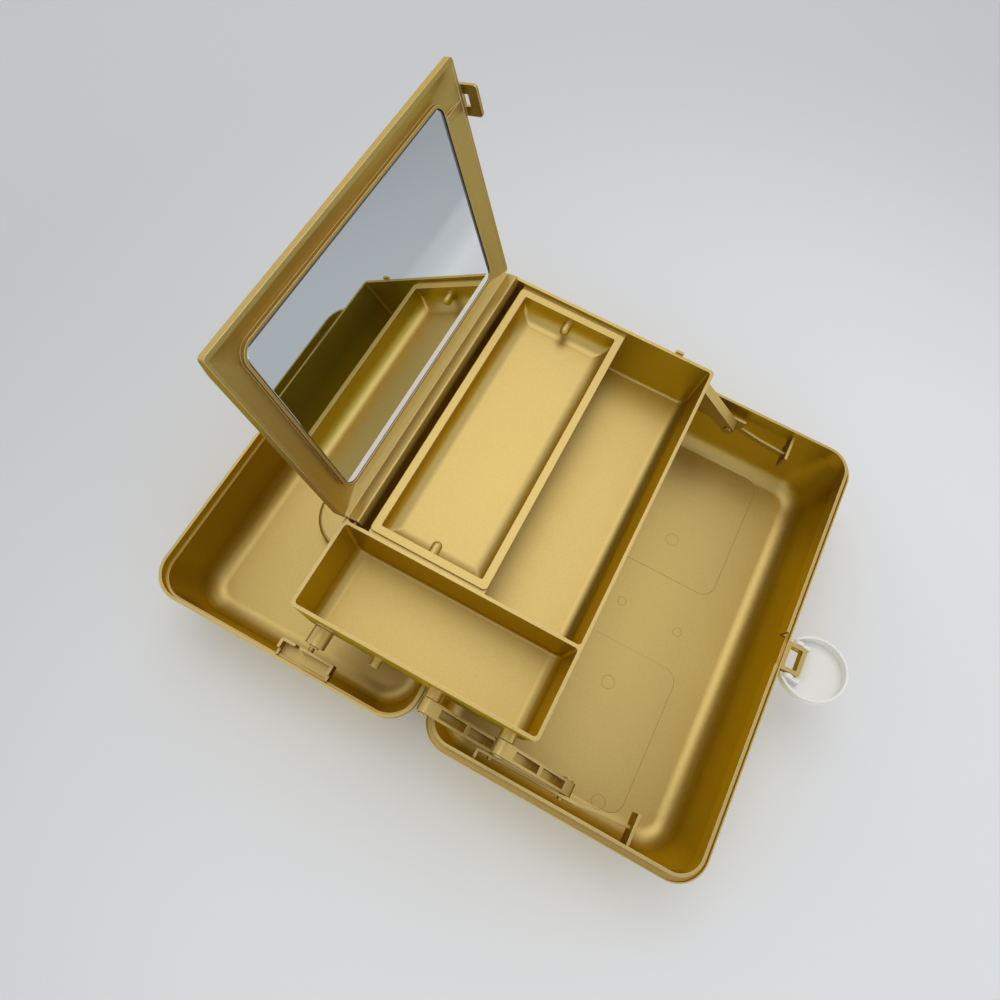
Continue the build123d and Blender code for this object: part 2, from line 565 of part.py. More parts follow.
def arm_base_pins():
    """Pins held in the base's rails, with a head inside each arm."""
    pins = []
    for side in (NEAR, FAR):
        for x, z in base_pivots():
            head = ARM_Y[0] - HEAD_GAP
            pin = rod(x, z, side * head, side * (RAIL_Y + RAIL + PIN_STAND_OUT), PIN_R)
            pin += rod(x, z, side * (head - PIN_HEAD), side * head, PIN_HEAD_R)
            pins.append(pin)
    return pins


# --- Arms and links -----------------------------------------------------------------------------------------
def bar_profile(x0, z0, x1, z1, height):
    """Bar with round ends between two pivots, standing in the XZ plane at y = 0, as a face."""
    run = hypot(x1 - x0, z1 - z0)
    lean = Vector(1, 0, 0).get_signed_angle(Vector(x1 - x0, z1 - z0, 0), Vector(0, 0, 1))
    outline = SlotCenterToCenter(run, height)
    place = Pos((x0 + x1) / 2, 0, (z0 + z1) / 2) * Rot(0, -lean, 0) * Rot(90, 0, 0)
    return place * outline


def bar(x0, z0, x1, z1, height, y):
    """Bar with round ends between two pivots and two Y planes."""
    face = Pos(0, max(y), 0) * bar_profile(x0, z0, x1, z1, height)
    return extrude(face, amount=max(y) - min(y), dir=(0, -1, 0))


def arm(step, side):
    """Swinging arm: a channel with round bosses at its ends and a rib across its middle."""
    (tx, tz), (bx, bz) = tray_pivots()[step], base_pivots()[step]
    y = side_span(side, ARM_Y)
    body = bar(tx, tz, bx, bz, ARM_HEIGHT, y)
    # The near arms are open upwards and the far arms, the same moulding turned over, are open downwards.
    along = Vector(bx - tx, 0, bz - tz).normalized()
    up = Vector(-along.Z, 0, along.X) * (-side)
    pocket = (ARM_LENGTH - ARM_HEIGHT - 2 * ARM_END_WEB - ARM_MID_RIB) / 2
    middle = Vector((tx + bx) / 2, 0, (tz + bz) / 2) + up * ARM_WEB
    turn = Vector(1, 0, 0).get_signed_angle(Vector(along.X, along.Z, 0), Vector(0, 0, 1))
    for end in (-1, 1):
        centre = middle + along * (end * (pocket + ARM_MID_RIB) / 2)
        place = Pos(centre.X, (y[0] + y[1]) / 2, centre.Z) * Rot(0, -turn, 0)
        body -= place * Box(pocket, ARM_Y[1] - ARM_Y[0] - 2 * ARM_FLANGE, ARM_HEIGHT)
    for x, z in ((tx, tz), (bx, bz)):
        body -= rod(x, z, y[0] - OVERCUT, y[1] + OVERCUT, PIN_R + RUN)
    return body


def lid_link(side):
    """Link from the tray to the lid's rail, with a long boss on the tray's pin and a peg at its foot."""
    y = side_span(side, LINK_Y)
    body = bar(LINK_TRAY_X, LINK_TRAY_Z, LINK_LID_X, LINK_LID_Z, LINK_WIDTH, y)
    body += rod(LINK_TRAY_X, LINK_TRAY_Z, side * LINK_Y[0], side * LINK_BOSS_END, LINK_BOSS_R)
    body += rod(LINK_LID_X, LINK_LID_Z, side * LINK_Y[0], side * (RAIL_Y - LINK_PEG_GAP), PIN_R)
    return body - rod(LINK_TRAY_X, LINK_TRAY_Z, side * (LINK_Y[0] - OVERCUT), side * (LINK_BOSS_END + OVERCUT),
                      PIN_R + RUN)


# --- Brackets -----------------------------------------------------------------------------------------------
def base_bracket(side):
    """Rail along the base's end wall that holds the arm pins, with a strap and an end rib."""
    wall_y = CASE_WIDTH / 2 - WALL
    rail_y = RAIL_Y + RAIL / 2
    z = (RAIL_TOP - RAIL_HEIGHT, RAIL_TOP)
    # Under the double rim the rail's ends reach the wall; above that they stop at the inner lip.
    low = (z[0], RIM_TOP - BASE_RIM_DROP - UNDER_RIM)
    lip_y = CASE_WIDTH / 2 - BASE_RIM
    hook_x, end_x = BASE_RAIL_X
    body = strip([(hook_x, rail_y), (end_x, rail_y)], RAIL, z)
    body += strip([(hook_x, lip_y - RAIL / 2), (hook_x, rail_y)], RAIL, z)
    body += block((hook_x - RAIL / 2, hook_x + RAIL / 2), (rail_y, wall_y), low)
    strap = [(end_x + run, RAIL_Y - bend) for run, bend in zip(STRAP_RUN, STRAP_BEND)]
    body += strip([(end_x, rail_y), *strap], RAIL, (STRAP_FOOT, STRAP_TOP))
    rib_x = (end_x + RIB_RUN - RIB / 2, end_x + RIB_RUN + RIB / 2)
    body += block(rib_x, (RAIL_Y - RIB_REACH, lip_y), (RIB_FOOT, RAIL_TOP))
    body += block(rib_x, (lip_y - RIB, wall_y), low)
    for x, pivot_z in base_pivots():
        body += rod(x, pivot_z, RAIL_Y, RAIL_Y + RAIL, TRAY_BOSS_R)
        body -= rod(x, pivot_z, RAIL_Y - OVERCUT, wall_y, PIN_R + SEAT)
    body = body & block((0, CASE_DEPTH), (0, wall_y), (-SHELL_DEPTH, RAIL_TOP))
    return body if side == FAR else mirror(body, Plane.XZ)


def lid_bracket(side):
    """Two hooked plates and a back bar on the lid's end wall, where the link's foot runs."""
    wall_y = CASE_WIDTH / 2 - WALL
    rail_y = RAIL_Y + RAIL / 2
    z = (RAIL_TOP - RAIL_HEIGHT, RAIL_TOP)
    body = strip([(LID_RAIL_X[0], rail_y), (LINK_LID_X + LID_RAIL_GAP[0], rail_y)], RAIL, z)
    body += strip([(LINK_LID_X + LID_RAIL_GAP[1], rail_y), (LID_RAIL_X[1], rail_y)], RAIL, z)
    for x in LID_RAIL_X:
        body += block((x - RAIL / 2, x + RAIL / 2), (rail_y, wall_y), z)
    body += block(LID_RAIL_X, (wall_y - LID_BACK_BAR, wall_y), (z[0], z[0] + LID_BACK_HEIGHT))
    # Foot plate that joins the hooks to the back bar under the slot.
    body += block(LID_RAIL_X, (RAIL_Y, wall_y), (z[0], z[0] + LID_BACK_BAR))
    # The hooks leave room for the base's lip, which enters the shut lid.
    lip_y = CASE_WIDTH / 2 - BASE_RIM - LAYER_GAP
    body -= block((-CASE_DEPTH, 0), (lip_y, CASE_WIDTH / 2), (RIM_TOP - RIM_LIP_RISE - LAYER_GAP, OVERCUT))
    # They are notched round the bead on the lid's wall.
    bead_top = RIM_TOP - LID_STEP_DROP
    bead_z = (bead_top - LID_BEAD_HEIGHT, bead_top)
    body -= block((-CASE_DEPTH, 0), (wall_y - LID_BEAD, wall_y + OVERCUT), bead_z)
    return body if side == FAR else mirror(body, Plane.XZ)


# --- Mirror lid, built shut and then opened -----------------------------------------------------------------
def mirror_pin_spans():
    near_wall = DIVIDER_Y - TRAY_WALL / 2
    far_wall = TRAY_HALF
    return [(near_wall, near_wall + TRAY_WALL + MIRROR_PIN), (far_wall - TRAY_WALL - MIRROR_PIN, far_wall)]


def frame_slab(s, y, n, radius):
    """Rounded slab in the frame's own terms: s from the axis, n above the axis."""
    return slab((MIRROR_AXIS_X + s[0], MIRROR_AXIS_X + s[1]), y, (MIRROR_AXIS_Z + n[0], MIRROR_AXIS_Z + n[1]),
                radius)


def widened(span, by):
    return (span[0] - by, span[1] + by)


def frame_profile(points):
    """Face in the XZ plane from (s, n) points."""
    place = [(MIRROR_AXIS_X + s, 0, MIRROR_AXIS_Z + n) for s, n in points]
    return make_face(Polyline(*place, close=True))


def opened(shape):
    return turned(shape, MIRROR_AXIS_X, MIRROR_AXIS_Z, -MIRROR_OPEN)


def glass_face():
    """Height of the glass's face above the axis."""
    return FRAME_FACE + LIP_RISE - LIP_LAP


def frame_outline(s, y, n, radius):
    """Rounded rectangle in the frame's own terms, at height n above the axis."""
    centre = Pos(MIRROR_AXIS_X + (s[0] + s[1]) / 2, (y[0] + y[1]) / 2, MIRROR_AXIS_Z + n)
    return centre * RectangleRounded(s[1] - s[0], y[1] - y[0], radius)


def along_y(face, y):
    """Solid of an XZ face between two Y planes."""
    return extrude(Pos(0, y[1], 0) * face, amount=y[1] - y[0], dir=(0, -1, 0))


def hinge_bar():
    """Bar along the frame's hinge edge: it hangs inside the tray when shut and holds the hinge pins."""
    back = FRAME_FACE + FRAME_THICK
    start, end = HINGE_RAIL
    points = [(start, -HINGE_RAIL_DROP), (end, -HINGE_RAIL_DROP), (end, HINGE_WALL_TOP), HINGE_TOE,
              (HINGE_TOE[0], back), (FRAME_START, back), HINGE_HEEL, HINGE_NECK, HINGE_THROAT, (0, BARREL_R),
              (-BARREL_R, 0)]
    face = frame_profile(points)
    feet = [v for v in face.vertices() if abs(v.Z - MIRROR_AXIS_Z + HINGE_RAIL_DROP) < 0.01]
    span = (DIVIDER_Y + TRAY_WALL / 2 + LEAF_GAP, TRAY_HALF - TRAY_WALL - LEAF_GAP)
    body = along_y(fillet(feet, HINGE_RAIL_R), span)
    return body + rod(MIRROR_AXIS_X, MIRROR_AXIS_Z, span[0], span[1], BARREL_R)


def clasp():
    """Hasp that hangs from the frame's far edge, outside the nub on the tray's wall."""
    inner = TRAY_HALF + NUB[1] + EDGE_GAP
    plate = frame_profile([(CLASP_S[0], CLASP_TIP_N), (CLASP_S[1], CLASP_TIP_N), (CLASP_S[1], CLASP_ROOT_N[1]),
                           (CLASP_S[0], CLASP_ROOT_N[1])])
    tips = [v for v in plate.vertices() if abs(v.Z - MIRROR_AXIS_Z - CLASP_TIP_N) < 0.01]
    body = along_y(fillet(tips, CLASP_R), (inner, inner + CLASP_THICK))
    low, high = CLASP_WINDOW_N
    window_s = widened(CLASP_S, -CLASP_BAR)
    window = frame_profile([(window_s[0], low), (window_s[1], low), (window_s[1], high), (window_s[0], high)])
    body -= along_y(fillet(window.vertices(), CLASP_WINDOW_R), (inner - OVERCUT, inner + CLASP_THICK + OVERCUT))
    web = block((MIRROR_AXIS_X + CLASP_S[0], MIRROR_AXIS_X + CLASP_S[1]),
                (MIRROR_Y[1] - CLASP_ROOT, inner + CLASP_THICK),
                (MIRROR_AXIS_Z + CLASP_ROOT_N[0], MIRROR_AXIS_Z + CLASP_ROOT_N[1]))
    return body + web


def mirror_frame():
    face, back = FRAME_FACE, FRAME_FACE + FRAME_THICK
    pocket_s = widened(GLASS_S, GLASS_CLEAR)
    pocket_y = widened(GLASS_Y, GLASS_CLEAR)
    valley_top = face + VALLEY
    body = frame_slab((FRAME_START, MIRROR_REACH), MIRROR_Y, (face, back), FRAME_R)
    # Hollow round the lip, with sides that slope from the outer wall to the lip's foot.
    mouth_s, mouth_y = (VALLEY_START, MIRROR_REACH - FRAME_FREE_WALL), widened(MIRROR_Y, -FRAME_WALL)
    body -= frame_slab(mouth_s, mouth_y, (face - OVERCUT, face + VALLEY_SIDE), VALLEY_R)
    foot = LIP + VALLEY_FOOT
    body -= loft([frame_outline(mouth_s, mouth_y, face + VALLEY_SIDE, VALLEY_R),
                  frame_outline(widened(pocket_s, foot), widened(pocket_y, foot), valley_top, GLASS_R + foot)],
                 ruled=True)
    body += frame_slab(widened(pocket_s, LIP), widened(pocket_y, LIP), (valley_top - LIP_RISE, valley_top),
                       GLASS_R + LIP)
    # Bridge from the lip to the outer wall beside the hasp.
    middle = (CLASP_S[0] + CLASP_S[1]) / 2
    body += frame_slab((middle - CLASP_PAD / 2, middle + CLASP_PAD / 2), (pocket_y[1] + LIP / 2, MIRROR_Y[1]),
                       (face + VALLEY_SIDE, valley_top + OVERCUT), FRAME_WALL / 2)
    body -= frame_slab(pocket_s, pocket_y, (face - OVERCUT, glass_face() + GLASS_THICK + PAD_THICK), GLASS_R)
    # Slope on the back of the free edge, which clears the case lid as it shuts.
    run, drop = EDGE_TAPER
    slope = frame_profile([(MIRROR_REACH - run, back), (MIRROR_REACH + run, back - 2 * drop),
                           (MIRROR_REACH + run, back + drop), (MIRROR_REACH - run, back + drop)])
    body -= along_y(slope, widened(MIRROR_Y, OVERCUT))
    body += hinge_bar()
    for y0, y1 in mirror_pin_spans():
        body -= rod(MIRROR_AXIS_X, MIRROR_AXIS_Z, y0 - OVERCUT, y1 + OVERCUT, MIRROR_PIN_R + RUN)
    return opened(body + clasp())


def mirror_glass():
    n = glass_face()
    return opened(frame_slab(GLASS_S, GLASS_Y, (n, n + GLASS_THICK), GLASS_R))


def mirror_pad():
    n = glass_face() + GLASS_THICK
    s = widened(GLASS_S, -PAD_INSET)
    return opened(frame_slab(s, widened(GLASS_Y, -PAD_INSET), (n, n + PAD_THICK), GLASS_R / 2))


def mirror_hinge_pins():
    return [rod(MIRROR_AXIS_X, MIRROR_AXIS_Z, y0, y1, MIRROR_PIN_R) for y0, y1 in mirror_pin_spans()]


# --- Lift-out tray ------------------------------------------------------------------------------------------
def sub_tray():
    bottom = SUB_RIM_Z - SUB_DEPTH
    body = slab(SUB_X, SUB_Y, (SUB_RIM_Z - SUB_RIM_THICK, SUB_RIM_Z), SUB_R)
    trough_x, trough_y = widened(SUB_X, -SUB_RIM + SUB_WALL), widened(SUB_Y, -SUB_RIM + SUB_WALL)
    trough = slab(trough_x, trough_y, (bottom, SUB_RIM_Z), SUB_WALL)
    body += fillet(long_edges(trough, bottom), SUB_COVE_R)
    inside_x, inside_y = widened(SUB_X, -SUB_RIM), widened(SUB_Y, -SUB_RIM)
    inside = slab(inside_x, inside_y, (bottom + SUB_WALL, SUB_RIM_Z + OVERCUT), SUB_INNER_R)
    body -= fillet(long_edges(inside, bottom + SUB_WALL), SUB_COVE_R - SUB_WALL)
    for y, way in ((inside_y[0], 1), (inside_y[1], -1)):
        peg = rod(SUB_PEG_X, SUB_RIM_Z - SUB_PEG_DROP, y - way * SUB_WALL / 2, y + way * (SUB_PEG - SUB_PEG_R),
                  SUB_PEG_R)
        peg += Pos(SUB_PEG_X, y + way * (SUB_PEG - SUB_PEG_R), SUB_RIM_Z - SUB_PEG_DROP) * Sphere(SUB_PEG_R)
        body += peg
    return body


# --- Latch cap, built level and then tilted -----------------------------------------------------------------
def latch_cap():
    centre = LATCH_AXIS_X + CAP_CENTRE
    mouth = LATCH_AXIS_Z + CAP_MOUTH
    bottom = mouth - CAP_DEPTH
    disc = Pos(centre, 0, (mouth + bottom) / 2) * Cylinder(CAP_R, CAP_DEPTH)
    body = fillet(disc.edges().filter_by(GeomType.CIRCLE).group_by(Axis.Z)[0], CAP_EDGE_R)
    hollow = CAP_DEPTH - CAP_WALL + OVERCUT
    body -= Pos(centre, 0, mouth + OVERCUT - hollow / 2) * Cylinder(CAP_R - CAP_WALL, hollow)
    half = TAB_WIDTH / 2 + CAP_LUG_GAP
    # Gap in the rim for the loop, with a lug on each side of it.
    body -= block((centre - CAP_R - OVERCUT, centre - CAP_R + CAP_NOTCH), (-half, half),
                  (bottom - OVERCUT, mouth + OVERCUT))
    for side in (NEAR, FAR):
        span = side_span(side, (half, half + CAP_LUG))
        body += rod(LATCH_AXIS_X, LATCH_AXIS_Z, span[0], span[1], CAP_LUG_R)
        body += block((LATCH_AXIS_X, LATCH_AXIS_X + CAP_LUG_FOOT), span, (bottom + CAP_WALL / 2, LATCH_AXIS_Z))
        stub = side_span(side, (TAB_WIDTH / 2 - TAB_BAR + CAP_STUB_GAP, half + CAP_LUG / 2))
        body += rod(LATCH_AXIS_X, LATCH_AXIS_Z, stub[0], stub[1], LATCH_PIN_R)
    return turned(body, LATCH_AXIS_X, LATCH_AXIS_Z, -LATCH_REST_TILT)


# --- Export -------------------------------------------------------------------------------------------------
def solids_of(shape):
    """All solids of a shape, or of a list of shapes."""
    if isinstance(shape, (list, tuple, ShapeList)):
        return [solid for piece in shape for solid in piece.solids()]
    return list(shape.solids())


def nodes():
    made = {
        "base_shell": base_shell(),
        "latch_hinge_tab": latch_hinge_tab(),
        "hinge_pins": hinge_pins(),
        "arm_base_pins": arm_base_pins(),
        "lid_shell": lid_shell(),
        "carry_handle": carry_handle(),
        "handle_pins": handle_pins(),
        "tray": tray(),
        "arm_tray_pins": arm_tray_pins(),
        "link_pins": link_pins(),
        "sub_tray": sub_tray(),
        "mirror_frame": mirror_frame(),
        "mirror_glass": mirror_glass(),
        "mirror_pad": mirror_pad(),
        "mirror_hinge_pins": mirror_hinge_pins(),
        "latch_cap": latch_cap(),
    }
    for name, side in (("near", NEAR), ("far", FAR)):
        made["base_bracket_" + name] = base_bracket(side)
        made["lid_bracket_" + name] = lid_bracket(side)
        made["rear_arm_" + name] = arm(0, side)
        made["front_arm_" + name] = arm(1, side)
        made["lid_link_" + name] = lid_link(side)
    return made


def export_all():
    os.makedirs("parts", exist_ok=True)
    to_base_centre = Pos(-(CASE_DEPTH + HINGE_SETBACK) / 2, 0, SHELL_DEPTH)
    for name, shape in nodes().items():
        solids = [to_base_centre * solid for solid in solids_of(shape)]
        whole = solids[0] if len(solids) == 1 else Compound(children=solids)
        whole.label = name
        export_step(whole, f"parts/{name}.step")


export_all()
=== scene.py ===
import json
import math

import bmesh
import bpy
import numpy as np
from mathutils import Matrix, Vector


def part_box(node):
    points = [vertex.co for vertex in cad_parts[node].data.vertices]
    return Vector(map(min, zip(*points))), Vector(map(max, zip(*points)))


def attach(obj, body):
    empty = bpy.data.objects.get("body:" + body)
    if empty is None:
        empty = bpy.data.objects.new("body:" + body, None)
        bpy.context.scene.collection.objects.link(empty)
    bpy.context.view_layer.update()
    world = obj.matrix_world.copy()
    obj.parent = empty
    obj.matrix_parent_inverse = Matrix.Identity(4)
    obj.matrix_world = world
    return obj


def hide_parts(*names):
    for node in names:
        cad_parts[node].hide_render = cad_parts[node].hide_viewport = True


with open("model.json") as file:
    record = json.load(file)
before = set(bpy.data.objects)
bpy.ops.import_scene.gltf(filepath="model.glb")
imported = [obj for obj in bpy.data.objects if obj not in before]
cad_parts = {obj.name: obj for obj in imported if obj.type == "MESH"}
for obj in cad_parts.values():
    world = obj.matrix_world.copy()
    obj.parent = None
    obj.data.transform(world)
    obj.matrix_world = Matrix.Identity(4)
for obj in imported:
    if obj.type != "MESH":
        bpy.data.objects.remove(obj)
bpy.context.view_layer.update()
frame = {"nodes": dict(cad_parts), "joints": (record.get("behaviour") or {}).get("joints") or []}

bl_info = {
    "name": "Vanity box with mirror",
    "version": (1, 0, 0),
    "blender": (4, 5, 0),
    "location": "3D View > Sidebar > Vanity Box",
    "description": "Dresses an open cosmetic case: gold moulded plastic, its mirror, its latch and a pale stage",
    "category": "Object",
}

MM = 0.001
TAU = 2 * math.pi

# --- Places read from the frame ----------------------------------------------------------------------------------
JOINT = {joint["name"]: Vector(joint["pos_m"]) for joint in frame["joints"]}

# --- Sizes that the frame doesn't give ---------------------------------------------------------------------------
MIRROR_OPEN = math.radians(108.2)   # mirror lid, from shut
FLOOR_MARK_TOP = 4 * MM             # the case's floors lie below this

# --- Fixed looks -------------------------------------------------------------------------------------------------
WHITE_ROUGHNESS = 0.22
FOAM_COLOUR = (0.02, 0.02, 0.02)
FOAM_ROUGHNESS = 0.9


def lid_point(s, y, n):
    """Points in the open mirror lid: s from its hinge axis, y along it, n from the glass side to the back.
    The shut lid lies along +X with n upwards, and is turned back about the axis by MIRROR_OPEN."""
    axis = JOINT["mirror_lid_swing"]
    x = s * math.cos(MIRROR_OPEN) - n * math.sin(MIRROR_OPEN)
    z = s * math.sin(MIRROR_OPEN) + n * math.cos(MIRROR_OPEN)
    return np.stack([axis.x + x, np.broadcast_to(y, np.shape(x)), axis.z + z], axis=-1)


# Ejector marks on the base's floor: x, y and radius in millimetres.
EJECTOR_MARKS = (
    (6.7, 57.8, 4.5), (7.2, -57.7, 4.5), (32.9, -129.0, 4.5), (-7.4, -1.9, 3.0), (36.3, -3.2, 3.0))
MARK_STRENGTH = 0.35
MARK_COLOUR = (0.45, 0.38, 0.25, 1.0)


# --- Meshes from grids -------------------------------------------------------------------------------------------
def grid_faces(rows, columns, wrap_rows=False, wrap_columns=False):
    """Quads between neighbouring points of a grid, in row-major order."""
    last_row = rows if wrap_rows else rows - 1
    last_column = columns if wrap_columns else columns - 1
    row, column = np.meshgrid(np.arange(last_row), np.arange(last_column), indexing="ij")
    next_row, next_column = (row + 1) % rows, (column + 1) % columns
    corners = [row * columns + column, row * columns + next_column,
               next_row * columns + next_column, next_row * columns + column]
    return np.stack(corners, axis=-1).reshape(-1, 4)


def add_piece(name, points, faces, material, body, caps=()):
    """Mesh object from points and quads, with extra faces as lists of point numbers, riding on a body."""
    mesh = bpy.data.meshes.new(name)
    mesh.from_pydata(np.asarray(points, float).reshape(-1, 3).tolist(), [], [*np.asarray(faces).tolist(), *caps])
    mesh.validate()
    mesh.shade_smooth()
    mesh.materials.append(material)
    piece = bpy.data.objects.new(name, mesh)
    bpy.context.scene.collection.objects.link(piece)
    if body:
        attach(piece, body)
    return piece


def split_edges(piece, angle):
    """Keeps edges sharper than an angle crisp in the shading."""
    split = piece.modifiers.new("Crisp edges", "EDGE_SPLIT")
    split.split_angle = math.radians(angle)
    return split


# --- Shader helpers ----------------------------------------------------------------------------------------------
def new_group(name, inputs, outputs):
    """Empty shader group with named sockets: inputs as (name, kind, default), outputs as (name, kind)."""
    group = bpy.data.node_groups.new(name, "ShaderNodeTree")
    for label, kind, default in inputs:
        socket = group.interface.new_socket(label, in_out="INPUT", socket_type=kind)
        socket.default_value = default
    for label, kind in outputs:
        group.interface.new_socket(label, in_out="OUTPUT", socket_type=kind)
    return group, group.nodes.new("NodeGroupInput"), group.nodes.new("NodeGroupOutput")


def node(tree, kind, settings=(), **values):
    """Adds a node, sets its properties, then its sockets by name, each to a value or to another node's socket."""
    made = tree.nodes.new(kind)
    for key, value in dict(settings).items():
        setattr(made, key, value)
    for key, value in values.items():
        label = key.replace("_", " ")
        socket = made.inputs[int(key[1:])] if key[1:].isdigit() else made.inputs[label]
        if isinstance(value, bpy.types.NodeSocket):
            tree.links.new(value, socket)
        else:
            socket.default_value = value
    return made


def edge_wear_and_highlight_group():
    """Rounds the shading of edges and gives a mask of the stretch beside them: the mask is the angle between the
    rounded and the true normal, spread between two limits and broken up by noise."""
    name = "Rounded and worn edges"
    if name in bpy.data.node_groups:
        return bpy.data.node_groups[name]
    group, entry, out = new_group(
        name,
        [("Radius", "NodeSocketFloat", 0.4 * MM), ("Breakup", "NodeSocketFloat", 0.4)],
        [("Mask", "NodeSocketFloat"), ("Normal", "NodeSocketVector")])
    place = node(group, "ShaderNodeTexCoord")
    rounded = node(group, "ShaderNodeBevel", {"samples": 6}, Radius=entry.outputs["Radius"])
    true = node(group, "ShaderNodeNewGeometry")
    dot = node(group, "ShaderNodeVectorMath", {"operation": "DOT_PRODUCT"},
               _0=rounded.outputs["Normal"], _1=true.outputs["Normal"])
    bend = node(group, "ShaderNodeMapRange", {"clamp": True}, Value=dot.outputs["Value"],
                From_Min=0.995, From_Max=0.80, To_Min=0.0, To_Max=1.0)
    noise = node(group, "ShaderNodeTexNoise", Vector=place.outputs["Object"], Scale=260.0, Detail=3.0)
    broken = node(group, "ShaderNodeMath", {"operation": "MULTIPLY_ADD"}, _0=noise.outputs["Fac"],
                  _1=entry.outputs["Breakup"], _2=1.0)
    scaled = node(group, "ShaderNodeMath", {"operation": "MULTIPLY", "use_clamp": True},
                  _0=bend.outputs["Result"], _1=broken.outputs["Value"])
    group.links.new(scaled.outputs["Value"], out.inputs["Mask"])
    group.links.new(rounded.outputs["Normal"], out.inputs["Normal"])
    return group


def flake_group():
    """Metal flake in moulded plastic: tiny cells of uneven brightness, and slow flow marks along one direction."""
    name = "Metal flake and flow"
    if name in bpy.data.node_groups:
        return bpy.data.node_groups[name]
    group, entry, out = new_group(
        name,
        [("Flake scale", "NodeSocketFloat", 2600.0), ("Flow scale", "NodeSocketFloat", 9.0)],
        [("Flake", "NodeSocketFloat"), ("Flow", "NodeSocketFloat"), ("Grain", "NodeSocketFloat")])
    place = node(group, "ShaderNodeTexCoord")
    cells = node(group, "ShaderNodeTexVoronoi", {"feature": "F1"}, Vector=place.outputs["Object"],
                 Scale=entry.outputs["Flake scale"])
    tone = node(group, "ShaderNodeSeparateColor", _0=cells.outputs["Color"])
    stretch = node(group, "ShaderNodeMapping", Vector=place.outputs["Object"], Scale=(1.0, 0.35, 1.0))
    flow = node(group, "ShaderNodeTexNoise", Vector=stretch.outputs["Vector"], Scale=entry.outputs["Flow scale"],
                Detail=3.0, Roughness=0.55)
    grain = node(group, "ShaderNodeTexNoise", Vector=place.outputs["Object"], Scale=900.0, Detail=2.0)
    group.links.new(tone.outputs["Red"], out.inputs["Flake"])
    group.links.new(flow.outputs["Fac"], out.inputs["Flow"])
    group.links.new(grain.outputs["Fac"], out.inputs["Grain"])
    return group


def scuff_group():
    """Fine handling scratches: thin bright ridges of a stretched noise, in two directions."""
    name = "Handling scuffs"
    if name in bpy.data.node_groups:
        return bpy.data.node_groups[name]
    group, entry, out = new_group(name, [("Density", "NodeSocketFloat", 0.5)], [("Mask", "NodeSocketFloat")])
    place = node(group, "ShaderNodeTexCoord")
    masks = []
    for turn, scale in ((0.5, 60.0), (-0.9, 45.0)):
        aligned = node(group, "ShaderNodeMapping", Vector=place.outputs["Object"], Rotation=(0.0, 0.0, turn),
                       Scale=(1.0, 14.0, 14.0))
        lines = node(group, "ShaderNodeTexNoise", Vector=aligned.outputs["Vector"], Scale=scale, Detail=1.0)
        ridge = node(group, "ShaderNodeMath", {"operation": "SUBTRACT"}, _0=lines.outputs["Fac"], _1=0.5)
        size = node(group, "ShaderNodeMath", {"operation": "ABSOLUTE"}, _0=ridge.outputs["Value"])
        thin = node(group, "ShaderNodeMapRange", {"clamp": True}, Value=size.outputs["Value"],
                    From_Min=0.0, From_Max=0.012, To_Min=1.0, To_Max=0.0)
        patch = node(group, "ShaderNodeTexNoise", Vector=aligned.outputs["Vector"], Scale=scale / 8, Detail=2.0)
        where = node(group, "ShaderNodeMapRange", {"clamp": True}, Value=patch.outputs["Fac"],
                     From_Min=0.55, From_Max=0.75, To_Min=0.0, To_Max=1.0)
        masks.append(node(group, "ShaderNodeMath", {"operation": "MULTIPLY"},
                          _0=thin.outputs["Result"], _1=where.outputs["Result"]))
    both = node(group, "ShaderNodeMath", {"operation": "MAXIMUM"},
                _0=masks[0].outputs["Value"], _1=masks[1].outputs["Value"])
    scaled = node(group, "ShaderNodeMath", {"operation": "MULTIPLY"}, _0=both.outputs["Value"],
                  _1=entry.outputs["Density"])
    group.links.new(scaled.outputs["Value"], out.inputs["Mask"])
    return group


def mix_colour(tree, mode, factor, first, second):
    """Colour mix node; factor, first and second are values or sockets. Gives the mixed colour's socket."""
    made = tree.nodes.new("ShaderNodeMix")
    made.data_type, made.blend_type = "RGBA", mode
    for socket, value in ((made.inputs[0], factor), (made.inputs[6], first), (made.inputs[7], second)):
        if isinstance(value, bpy.types.NodeSocket):
            tree.links.new(value, socket)
        else:
            socket.default_value = value
    return made.outputs[2]


def new_material(name):
    """Material with an empty tree and an output. Gives the material, its tree and the output node."""
    material = bpy.data.materials.new(name)
    material.use_nodes = True
    tree = material.node_tree
    tree.nodes.clear()
    return material, tree, tree.nodes.new("ShaderNodeOutputMaterial")


def group_node(tree, group, **values):
    """Places a shader group in a tree and sets its inputs by name."""
    made = tree.nodes.new("ShaderNodeGroup")
    made.node_tree = group
    for key, value in values.items():
        made.inputs[key.replace("_", " ")].default_value = value
    return made


